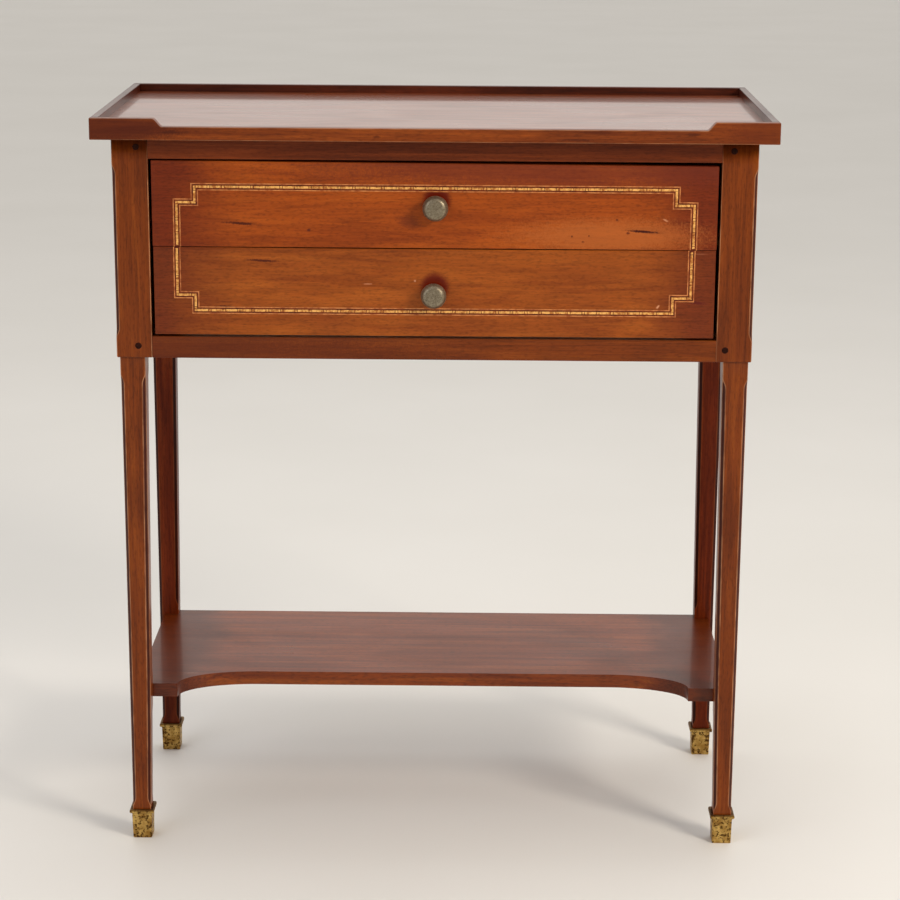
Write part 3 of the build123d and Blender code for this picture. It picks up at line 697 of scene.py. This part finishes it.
def settle(piece: bpy.types.Object, body: str, slot: str, material: bpy.types.Material,
           *nodes: str) -> None:
    """Give a new piece its finish and its place in the frame.

    Args:
        piece: the new piece.
        body: the body that it moves with.
        slot: the record's material slot; not used.
        material: its finish.
        nodes: the CAD nodes that it stands for.
    """
    piece.data.materials.append(material)
    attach(piece, body)
    if nodes:
        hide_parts(*nodes)
    LOG.info("%s: %d points, moves with %s", piece.name, len(piece.data.vertices), body)


def dress(nodes: dict[str, bpy.types.Object], name: str, material: bpy.types.Material,
          ease: float = 0.0, segments: int = 2) -> None:
    """Give a CAD node its finish, and rub its edges down.

    Args:
        nodes: the frame's nodes.
        name: the node.
        material: its finish.
        ease: width of the rubbed edges in millimetres, or nothing for crisp ones.
        segments: steps across such an edge.
    """
    piece = nodes[name]
    piece.data.materials.clear()
    piece.data.materials.append(material)
    if ease:
        piece.modifiers.new("joined", "WELD").merge_threshold = MERGE
        bevel = piece.modifiers.new("eased", "BEVEL")
        bevel.width = ease * MM
        bevel.segments = segments
        bevel.limit_method = "ANGLE"
        bevel.angle_limit = math.radians(40)
        bevel.use_clamp_overlap = True
        weighted(piece)
    LOG.info("%s dressed", name)


# ------------------------------------------------------------------ sub-assemblies
@dataclass
class Legs:
    """Four legs: a square block at the top, then a tapering leg with stopped chamfers."""

    nodes: dict[str, bpy.types.Object]
    setback: float = 2.5 * MM           # leg behind the block's outer faces
    under_block: float = 23.5 * MM
    at_shelf: float = 20.0 * MM
    at_foot: float = 17.6 * MM
    block_width: float = 33.0 * MM
    ledge: float = 481.0 * MM           # underside of the block
    shelf_top: float = 153.5 * MM
    shelf_bottom: float = 140.2 * MM
    off_shelf: float = 6.0 * MM         # chamfers stop this far from the shelf
    off_block: float = 14.0 * MM        # ... and from the block
    block_chamfer: tuple[float, float] = (497.1 * MM, 663.4 * MM)
    cup_top: float = 30.0 * MM
    chamfer: float = 3.2 * MM
    stop: float = 12.0 * MM             # length of a chamfer's curved end

    def width(self, z: np.ndarray) -> np.ndarray:
        """Width of the leg below its block: straight tapers, faster below the shelf."""
        heights = [self.cup_top, self.shelf_top, self.ledge]
        return np.interp(z, heights, [self.at_foot, self.at_shelf, self.under_block])

    def stopped(self, z: np.ndarray, low: float, high: float) -> np.ndarray:
        """Chamfer width between two heights, rising and falling as half a cosine wave.

        Args:
            z: heights.
            low: where the chamfer starts.
            high: where it ends.

        Returns:
            The width at each height.
        """
        near = np.clip(np.minimum(z - low, high - z) / self.stop, 0.0, 1.0)
        return self.chamfer * 0.5 * (1 - np.cos(math.pi * near))

    def build(self) -> None:
        """Build and place the four legs."""
        seed = 1
        for row, depth_side in (("front", -1), ("rear", 1)):
            for hand, side in (("left", -1), ("right", 1)):
                node = f"leg_{row}_{hand}"
                piece = self.one(node, side, depth_side)
                # the rear legs take the darker copy of the frame wood, which is painted shade
                wood = FRAME_WOOD if row == "front" else SHADED_WOOD
                material = wood.material(node.replace("_", " "), Grain.UPRIGHT, seed)
                settle(piece, "case", "mahogany_frame", material, node)
                seed += 1

    def one(self, node: str, side: int, depth_side: int) -> bpy.types.Object:
        """Build one leg as rings carried up from the foot.

        Args:
            node: the CAD node that the leg stands for.
            side: -1 for the left and 1 for the right.
            depth_side: -1 for the front and 1 for the rear.

        Returns:
            The new piece.
        """
        low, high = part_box(node)
        outer = max(abs(low.x), abs(high.x))
        face = max(abs(low.y), abs(high.y))
        top = high.z
        upper_end = self.ledge - self.off_block
        below_shelf = self.shelf_bottom - self.off_shelf
        above_shelf = self.shelf_top + self.off_shelf
        stops = np.array([self.cup_top, below_shelf - self.stop, above_shelf,
                          upper_end - self.stop])
        fine = (stops[:, None] + np.linspace(0, self.stop, 9)).ravel()
        z = np.unique(np.concatenate([fine, [self.cup_top - 2 * MM, self.cup_top,
                                             self.shelf_top, self.ledge]]).round(6))
        wide = self.width(z)
        faces = np.stack([np.full_like(z, self.setback), self.setback + wide], 1)
        whole = self.stopped(z, self.cup_top, upper_end)
        inner = np.maximum(self.stopped(z, self.cup_top, below_shelf),
                           self.stopped(z, above_shelf, upper_end))
        leg_cuts = np.stack([whole, whole, inner, whole], 1)
        leg = self.lifted(chamfered_section(faces - outer, faces - face, leg_cuts), z)

        block_foot = self.ledge + np.array([0.0, 0.45, 1.0]) * MM
        chamfer_low, chamfer_high = self.block_chamfer
        block_z = np.unique(np.concatenate([
            block_foot, chamfer_low + np.linspace(0, self.stop, 9),
            chamfer_high - np.linspace(0, self.stop, 9), [top]]).round(6))
        shrink = np.interp(block_z, block_foot, np.array([0.6, 0.15, 0.0]) * MM)
        side_faces = np.stack([shrink, self.block_width - shrink], 1)
        block_cuts = np.zeros((len(block_z), 4))
        block_cuts[:, 0] = self.stopped(block_z, chamfer_low, chamfer_high)
        block = self.lifted(
            chamfered_section(side_faces - outer, side_faces - face, block_cuts), block_z)
        rings = np.concatenate([leg, block])
        rings *= np.array([-side, -depth_side, 1])
        piece = skinned(node.replace("leg", "tapered_leg"), rings,
                        wear=corner_share(np.concatenate([leg_cuts, block_cuts])))
        weighted(piece)
        return piece

    @staticmethod
    def lifted(sections: np.ndarray, z: np.ndarray) -> np.ndarray:
        """Put each flat section at its own height."""
        heights = np.broadcast_to(z[:, None, None], sections.shape[:2] + (1,))
        return np.concatenate([sections, heights], 2)


@dataclass
class TrayTop:
    """Board inside a low gallery, with a front edging whose ends stand up."""

    nodes: dict[str, bpy.types.Object]
    raised: float = 56.6 * MM           # length of the raised ends
    ogee: float = 9.0 * MM              # run of the curve down to the low middle
    lip: float = 0.2 * MM               # the low middle stands this far above the board

    def build(self) -> None:
        """Build the edging and dress the boards."""
        self.edging()
        marks = (
            Mark((-104.0, -95.0, 697.3), (9.0, 1.2, 1.0), "#3b2018", 0.8),
            Mark((60.0, 20.0, 697.3), (14.0, 0.9, 1.0), "#4a2a1e", 0.5),
        )
        dress(self.nodes, "tray_board", TOP_WOOD.material("tray board", Grain.ACROSS, 11,
                                                          marks=marks))
        for node, grain, seed in (("gallery_left", Grain.DEEP, 12),
                                  ("gallery_right", Grain.DEEP, 13),
                                  ("gallery_back", Grain.ACROSS, 14)):
            material = GALLERY_WOOD.material(node.replace("_", " "), grain, seed)
            dress(self.nodes, node, material, ease=0.8, segments=3)

    def height(self, x: np.ndarray) -> np.ndarray:
        """Height of the edging: level, a smooth S over the ogee's run, then the full height.

        The S is three squares of the share less two cubes, so it leaves both levels flat.
        """
        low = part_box("tray_board")[1].z + self.lip
        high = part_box("tray_front_edge")[1]
        turn = high.x - self.raised - self.ogee
        share = np.clip((np.abs(x) - turn) / self.ogee, 0.0, 1.0)
        return low + (high.z - low) * share ** 2 * (3 - 2 * share)

    def edging(self) -> None:
        """Build the edging from its sections, which stand close together along the curve."""
        low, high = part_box("tray_front_edge")
        turn = high.x - self.raised - self.ogee
        stations = np.concatenate([[0.0, turn / 2, high.x - 20 * MM],
                                   np.linspace(turn, turn + self.ogee, 15)])
        piece = eased_bar("tray_edging", high.x, stations, (0.15, 0.6), (low.y, high.y), low.z,
                          self.height)
        weighted(piece)
        marks = (
            Mark((-284.0, -150.0, 697.0), (86.0, 14.0, 20.0), "#481606", 0.7),
            Mark((296.0, -150.0, 697.0), (46.0, 14.0, 18.0), "#5c240c", 0.6),
            Mark((-236.0, -150.0, 693.0), (14.0, 12.0, 2.4), "#3f1506", 0.6),
            Mark((-52.0, -150.0, 690.0), (5.0, 12.0, 1.8), "#3f1506", 0.6),
            Mark((128.0, -150.0, 688.5), (22.0, 12.0, 1.4), "#3f1506", 0.6),
            Mark((232.0, -150.0, 694.0), (9.0, 12.0, 2.0), "#3f1506", 0.6),
        )
        material = EDGE_WOOD.material("tray edging", Grain.ACROSS, 15, marks=marks)
        settle(piece, "case", "mahogany_top", material, "tray_front_edge")


@dataclass
class Case:
    """Rails, panels and the hidden woodwork that carries the drawers."""

    nodes: dict[str, bpy.types.Object]
    peg_radius: float = 3.1 * MM
    peg_depth: float = 8.0 * MM

    def build(self) -> None:
        """Dress the boards and build the pegs."""
        hidden = ("lower_runner_left", "lower_runner_right", "upper_runner_left",
                  "upper_runner_right", "top_cleat_left", "top_cleat_right")
        boards = (
            (21, RAIL_WOOD, Grain.ACROSS, 0.35, ("top_rail",)),
            (22, FRAME_WOOD, Grain.ACROSS, 0.45, ("bottom_rail",)),
            (23, FRAME_WOOD, Grain.DEEP, 0.3, ("side_panel_left", "side_panel_right")),
            (25, RAIL_WOOD, Grain.ACROSS, 0.3, ("back_panel",)),
            (26, LINING_WOOD, Grain.DEEP, 0.4, hidden),
            (33, LINING_WOOD, Grain.UPRIGHT, 0.3, ("drawer_stops",)),
            (34, PEG_WOOD, Grain.DEEP, 0.0, ("shelf_dowels",)),
        )
        # painted shade: the left part of the bottom rail is darkened where less light falls on it
        painted_shade_on_rail = Mark((-240.0, -140.0, 490.0), (330.0, 40.0, 60.0), "#521e0c", 0.62)
        for first, wood, grain, ease, names in boards:
            for seed, node in enumerate(names, first):
                marks = (painted_shade_on_rail,) if node == "bottom_rail" else ()
                material = wood.material(node.replace("_", " "), grain, seed, marks=marks)
                dress(self.nodes, node, material, ease)
        for seed, node in enumerate(("tray_screws", "runner_screws"), 35):
            dress(self.nodes, node, SCREW_METAL.material(node.replace("_", " "), seed))
        self.pegs()

    def pegs(self) -> None:
        """Build the four pegs as one piece: hand-cut, slightly eight-sided, with domed ends.

        The radius swells eight times round by a few hundredths, and the face is a shallow dome.
        """
        corners = np.array([v.co for v in self.nodes["rail_pegs"].data.vertices])
        front = corners[:, 1].min()
        heads = corners[corners[:, 1] < front + 0.05 * MM]
        middle = (heads[:, 2].min() + heads[:, 2].max()) / 2
        outlines = [heads[((heads[:, 0] > 0) == right) & ((heads[:, 2] > middle) == upper)]
                    for right in (False, True) for upper in (False, True)]
        angle = np.linspace(0, 2 * math.pi, 24, endpoint=False)
        radius = self.peg_radius * np.array([0.25, 0.55, 0.85, 0.99, 0.99])
        y = front + np.array([0.0, 0.03, 0.10, 0.28]) * MM
        y = np.append(y, front + self.peg_depth)
        pegs = []
        for number, outline in enumerate(outlines):
            centre = (outline.min(0) + outline.max(0)) / 2
            swell = 1 + 0.035 * np.cos(8 * angle + number)
            ring = radius[:, None] * np.minimum(swell, 1.0)
            rings = np.stack([centre[0] + ring * np.cos(angle),
                              np.broadcast_to(y[:, None], ring.shape),
                              centre[2] + ring * np.sin(angle)], -1)
            pegs.append(rings)
        piece = skinned("rail_peg_ends", *pegs)
        settle(piece, "case", "dark_peg", PEG_WOOD.material("rail pegs", Grain.DEEP, 37),
               "rail_pegs")


@dataclass
class LowShelf:
    """Scooped shelf between the legs."""

    nodes: dict[str, bpy.types.Object]

    def build(self) -> None:
        """Dress the shelf."""
        marks = (
            Mark((-113.0, -8.0, 153.5), (6.0, 0.8, 1.0), "#2c1009", 0.7),
            Mark((-238.0, -77.0, 153.5), (10.0, 1.0, 1.0), "#a8826c", 0.5),
        )
        # the darker ends paint the dark reflection of the legs in the shelf's gloss
        wood = SHELF_WOOD.material("shelf", Grain.ACROSS, 41, darker_ends=(200.0, 245.0, 0.8),
                                   marks=marks)
        dress(self.nodes, "shelf", wood, 0.6, 3)


@dataclass
class FootCups:
    """Brass cups under the legs: a slightly tapered square body and a flared collar."""

    nodes: dict[str, bpy.types.Object]
    heights: tuple[float, ...] = (0.0, 0.5, 12.0, 25.2, 25.9, 26.5, 27.1, 28.4, 29.1, 30.0)
    widths: tuple[float, ...] = (17.4, 18.2, 18.8, 19.4, 20.0, 22.8, 23.6, 23.8, 23.4, 22.4)
    throat: tuple[float, ...] = (29.8, 28.0)
    throat_widths: tuple[float, ...] = (17.9, 17.6)

    def build(self) -> None:
        """Build the four cups with their pins."""
        for seed, node in enumerate(sorted(n for n in self.nodes if n.startswith("sabot_"))):
            if node == "sabot_pins":
                continue
            piece = self.one(node)
            material = CUP_METAL.material(node.replace("_", " "), seed + 1)
            settle(piece, "case", "tarnished_brass", material, node)
        dress(self.nodes, "sabot_pins", CUP_METAL.material("sabot pins", 9))

    def one(self, node: str) -> bpy.types.Object:
        """Carry the cup's square section up its outside and down into its throat.

        Args:
            node: the CAD node that the cup stands for.

        Returns:
            The new piece.
        """
        low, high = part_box(node)
        centre = (low + high) / 2
        z = np.array(self.heights + self.throat) * MM
        half = np.array(self.widths + self.throat_widths) * MM / 2
        sides = np.stack([-half, half], 1)
        cuts = np.full((len(z), 4), 0.5 * MM)
        section = chamfered_section(sides + centre.x, sides + centre.y, cuts)
        piece = skinned(node.replace("sabot", "foot_cup"), Legs.lifted(section, z))
        weighted(piece)
        return piece


@dataclass
class Drawer:
    """One drawer: front with its inlay, box, knob and bolt."""

    nodes: dict[str, bpy.types.Object]
    level: str                          # "upper" or "lower"
    seed: int
    wood: PolishedWood
    marks: tuple[Mark, ...] = ()
    slope: float = 0.0                  # fall of the front's upper edge, left to right
    bow: float = 0.0                    # ... and how much lower its middle is
    hair: float = 0.03 * MM
    around: int = 72                    # points round the knob

    def build(self) -> None:
        """Dress the drawer's boards and build its knob."""
        body = f"{self.level}_drawer"
        words = f"{self.level} drawer"
        self.front(body)
        parts = (("side_left", Grain.DEEP), ("side_right", Grain.DEEP), ("back", Grain.ACROSS),
                 ("bottom", Grain.ACROSS))
        for step, (part, grain) in enumerate(parts, 1):
            lining = LINING_WOOD.material(f"{words} {part.replace('_', ' ')}", grain,
                                          self.seed + step)
            dress(self.nodes, f"{body}_{part}", lining, 0.35)
        inlay = (("inlay_lines", BOX_LINE), ("inlay_dashes", MAPLE_CHIP),
                 ("inlay_ground", DARK_GROUND))
        for part, finish in inlay:
            dress(self.nodes, f"{self.level}_{part}", finish.material(words, self.seed))
        dress(self.nodes, f"{self.level}_knob_bolt", SCREW_METAL.material(words, self.seed))
        self.knob(body)

    def front(self, body: str) -> None:
        """Carry the front's section from end to end, with eased edges.

        The upper edge falls by slope along a straight line, and by bow at the middle along a
        parabola.  The face lies a hair behind the inlay, so that the inlay shows.

        Args:
            body: the body that the front moves with.
        """
        node = f"{body}_front"
        low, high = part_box(node)
        half = high.x

        def top(x: np.ndarray) -> np.ndarray:
            """Height of the upper edge: its straight fall and its bow."""
            return high.z - self.slope * (x + half) / (2 * half) - self.bow * (1 - (x / half) ** 2)

        roll = (0.12, 0.45)
        stations = np.linspace(0.0, half - roll[1] * MM, 8)[:-1]
        piece = eased_bar(f"{node}_board", half, stations, roll,
                          (low.y + self.hair, high.y), low.z, top)
        cut_out(piece, self.nodes[f"{body}_side_left"], self.nodes[f"{body}_side_right"])
        weighted(piece)
        veneer = self.wood.material(node.replace("_", " "), Grain.ACROSS, self.seed,
                                    darker_ends=(165.0, 250.0, 0.9), marks=self.marks)
        settle(piece, body, "cherry_front", veneer, node)

    def profile(self) -> tuple[np.ndarray, np.ndarray]:
        """Half section of the knob.

        A small foot runs into a waisted neck; the underside swells out as a quarter sine to
        the rim, the rim is a half ellipse, and the face is a shallow circular dome.

        Returns:
            Radii and distances from the drawer front, in metres.
        """
        foot_r = np.array([6.3, 6.5, 6.5, 6.2])
        foot_h = np.array([0.0, 0.2, 1.0, 1.3])
        turn = np.linspace(0, 1, 9)[1:]
        neck_r = 4.6 + 1.6 * (1 - np.sin(turn * math.pi / 2))
        neck_h = 1.3 + 2.9 * turn
        swell_r = 4.6 + 6.3 * np.sin(turn * math.pi / 2) ** 1.2
        swell_h = 4.9 + 3.4 * turn ** 1.6
        bend = np.linspace(-70, 65, 10)
        rim_r = 10.95 + 0.75 * np.cos(np.radians(bend))
        rim_h = 9.6 + 1.3 * np.sin(np.radians(bend))
        fall = np.sin(np.linspace(math.pi / 2, 0.03, 22)[1:])
        dome_r = rim_r[-1] * fall
        dome_h = 15.5 - (15.5 - rim_h[-1]) * fall ** 7
        radius = np.concatenate([foot_r, neck_r, swell_r, rim_r, dome_r])
        height = np.concatenate([foot_h, neck_h, swell_h, rim_h, dome_h])
        return radius * MM, height * MM

    def knob(self, body: str) -> None:
        """Turn the knob's half section round its axis.

        Args:
            body: the body that the knob moves with.
        """
        low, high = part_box(f"{self.level}_knob")
        centre = (low + high) / 2
        radius, height = self.profile()
        angle = np.linspace(0, 2 * math.pi, self.around, endpoint=False)
        rings = np.stack([centre.x + radius[:, None] * np.cos(angle),
                          np.broadcast_to(high.y - height[:, None], (len(radius), self.around)),
                          centre.z + radius[:, None] * np.sin(angle)], -1)
        piece = skinned(f"{self.level}_turned_knob", rings)
        settle(piece, body, "aged_nickel", KNOB_METAL.material(f"{self.level} knob", self.seed),
               f"{self.level}_knob")


@dataclass
class Studio:
    """Floor, light and camera."""

    lens: float = 97.1
    eye: tuple[float, float, float] = (0.0351, -2.3252, 0.9662)
    yaw: float = -0.0089
    pitch: float = 0.2543
    roll: float = 0.0063
    wall: str = "#f4efe9"
    room: str = "#7a7268"
    horizon: str = "#c8c3bb"            # tone of the far floor, so that no edge shows
    lights: tuple[tuple[str, tuple[float, float, float], float, float, str], ...] = (
        ("window", (1.9, -1.7, 1.75), 0.7, 52.0, "#fff4e6"),
        ("fill", (-2.0, -2.1, 1.7), 2.0, 24.0, "#f6f6ff"),
        ("ceiling", (0.2, 0.6, 2.8), 2.4, 18.0, "#ffffff"),
    )

    def build(self) -> None:
        """Build the floor, world, lights and camera."""
        self.floor()
        self.world()
        for name, place, size, power, colour in self.lights:
            self.lamp(name, place, size, power, colour)
        self.camera()
        bpy.context.scene.view_settings.view_transform = "Standard"

    def floor(self) -> None:
        """Lay a plain pale floor."""
        half = 60.0
        mesh = bpy.data.meshes.new("floor")
        mesh.from_pydata([(-half, -half, 0), (half, -half, 0), (half, half, 0), (-half, half, 0)],
                         [], [(0, 1, 2, 3)])
        plane = bpy.data.objects.new("floor", mesh)
        bpy.context.scene.collection.objects.link(plane)
        material, tree = new_material("painted floor")
        cloud = add_node(tree, "TexNoise", {
            "Vector": add_node(tree, "TexCoord", out="Object"), "Scale": 2.2, "Detail": 3.0})
        shader = add_node(tree, "BsdfPrincipled", {
            "Base Color": layered(tree, linear("#d3d2ce"), (cloud, linear("#dcdbd8"))),
            "Roughness": 0.55, "IOR": 1.45})
        add_node(tree, "OutputMaterial", [shader])
        mesh.materials.append(material)

    def world(self) -> None:
        """Surround everything with a room: white wall behind, dimmer and browner in front."""
        world = bpy.data.worlds.new("room")
        world.use_nodes = True
        tree = world.node_tree
        tree.nodes.clear()
        way = add_node(tree, "TexCoord", out="Generated")
        ahead, height = add_node(tree, "SeparateXYZ", [way]).node.outputs[1:]
        raised = add_node(tree, "Math", [height, 0.6, ahead], operation="MULTIPLY_ADD")
        share = add_node(tree, "MapRange", [raised, -0.55, 0.35], **SMOOTH)
        above = add_node(tree, "MapRange", [height, 0.01, 0.16], **SMOOTH)
        room = layered(tree, linear(self.room), (share, linear(self.wall)))
        tone = layered(tree, linear(self.horizon), (above, room))
        add_node(tree, "OutputWorld", [add_node(tree, "Background", [tone, 1.0])])
        bpy.context.scene.world = world

    @staticmethod
    def lamp(name: str, place: tuple[float, float, float], size: float, power: float,
             colour: str) -> None:
        """Hang a soft square lamp that faces the table.

        Args:
            name: the lamp's name.
            place: where it hangs, in metres.
            size: side of its square.
            power: in watts.
            colour: its colour.
        """
        light = bpy.data.lights.new(name, "AREA")
        light.size = size
        light.energy = power
        light.color = linear(colour)[:3]
        lamp = bpy.data.objects.new(name, light)
        lamp.location = place
        lamp.rotation_mode = "QUATERNION"
        aim = Vector((0.0, 0.0, 0.35)) - Vector(place)
        lamp.rotation_quaternion = aim.to_track_quat("-Z", "Y")
        bpy.context.scene.collection.objects.link(lamp)

    def camera(self) -> None:
        """Set the camera by its eye point, yaw, pitch and roll."""
        data = bpy.data.cameras.new("camera")
        data.lens = self.lens
        data.sensor_width = 36.0
        camera = bpy.data.objects.new("camera", data)
        ahead = Vector((math.sin(self.yaw) * math.cos(self.pitch),
                        math.cos(self.yaw) * math.cos(self.pitch), -math.sin(self.pitch)))
        across = Vector((math.cos(self.yaw), -math.sin(self.yaw), 0.0))
        upward = across.cross(ahead)
        right = across * math.cos(self.roll) + upward * math.sin(self.roll)
        up = upward * math.cos(self.roll) - across * math.sin(self.roll)
        axes = Matrix((right, up, -ahead)).transposed().to_4x4()
        camera.matrix_world = Matrix.Translation(self.eye) @ axes
        bpy.context.scene.collection.objects.link(camera)
        bpy.context.scene.camera = camera


def front_mark(x: float, z: float, wide: float, high: float, colour: str, strength: float,
               deep: float = 3.0, **more: float) -> Mark:
    """A mark on a drawer front, at a place on its face; its half lengths are wide, deep, high."""
    return Mark((x, -127.0, z), (wide, deep, high), colour, strength, **more)


UPPER_MARKS = (
    front_mark(110.0, 660.0, 330.0, 26.0, "#66281a", 0.6, deep=4.0),
    front_mark(160.0, 598.0, 120.0, 22.0, "#b4652f", 0.5, deep=4.0),
    # painted shadow and reflection: a dark red halo round the knob stands for its shadow and its
    # reflection in the polish
    front_mark(2.0, 629.6, 19.0, 18.2, "#5a0c02", 0.9, ragged=0.15, faded=0.35, deep=5.0),
    front_mark(-178.0, 607.3, 22.0, 1.7, "#441708", 0.95, tilt=4.0),
    front_mark(-114.7, 601.6, 2.4, 1.8, "#4f1f12", 0.9, deep=2.0),
    front_mark(190.5, 602.4, 21.0, 1.7, "#3c120a", 1.0, tilt=4.0),
    front_mark(177.0, 600.9, 2.4, 1.6, "#5a2010", 0.9),
    front_mark(166.6, 613.0, 1.8, 1.5, "#52200f", 0.8, deep=2.0),
    front_mark(125.8, 597.4, 1.6, 1.3, "#52200f", 0.8, deep=2.0),
    front_mark(136.0, 592.5, 1.8, 1.3, "#52200f", 0.75, deep=2.0),
    front_mark(141.3, 598.1, 1.4, 1.3, "#52200f", 0.8, deep=2.0),
    front_mark(211.0, 612.9, 3.2, 1.2, "#c98a62", 0.7, tilt=28.0),
    front_mark(-23.2, 609.7, 15.0, 8.0, "#6a2c12", 0.6, tilt=15.0),
)
LOWER_MARKS = (
    # painted shadow and reflection: a dark red halo round the knob stands for its shadow and its
    # reflection in the polish
    front_mark(0.6, 549.4, 19.2, 19.6, "#5a0c02", 0.9, ragged=0.15, faded=0.4, deep=5.0),
    front_mark(-158.0, 573.0, 20.0, 1.5, "#46180a", 0.95, tilt=3.0),
    front_mark(-192.0, 529.8, 12.0, 1.5, "#4c1c0d", 0.9, tilt=3.0),
    front_mark(-61.0, 551.9, 6.0, 0.7, "#d08f66", 0.55, deep=2.0),
    front_mark(-17.6, 555.0, 1.3, 1.3, "#d8a07a", 0.6, deep=2.0),
    front_mark(243.0, 582.0, 9.0, 1.0, "#94583a", 0.45),
    front_mark(242.0, 536.5, 12.0, 2.0, "#561a12", 0.9, tilt=4.0),
    front_mark(206.0, 532.5, 2.6, 1.3, "#d79a70", 0.8, tilt=-50.0),
)


def main() -> None:
    """Build the whole table around the frame, in order."""
    logging.basicConfig(level=logging.INFO, format="%(name)s: %(message)s")
    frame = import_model()
    nodes = frame["nodes"]
    assemblies = [
        Legs(nodes),
        TrayTop(nodes),
        Case(nodes),
        LowShelf(nodes),
        FootCups(nodes),
        Drawer(nodes, "upper", 51, FRONT_WOOD, UPPER_MARKS, slope=1.9 * MM),
        Drawer(nodes, "lower", 61, LOWER_WOOD, LOWER_MARKS, bow=0.65 * MM),
        Studio(),
    ]
    for assembly in assemblies:
        LOG.info("building %s", type(assembly).__name__)
        assembly.build()


if __name__ == "__main__":
    main()
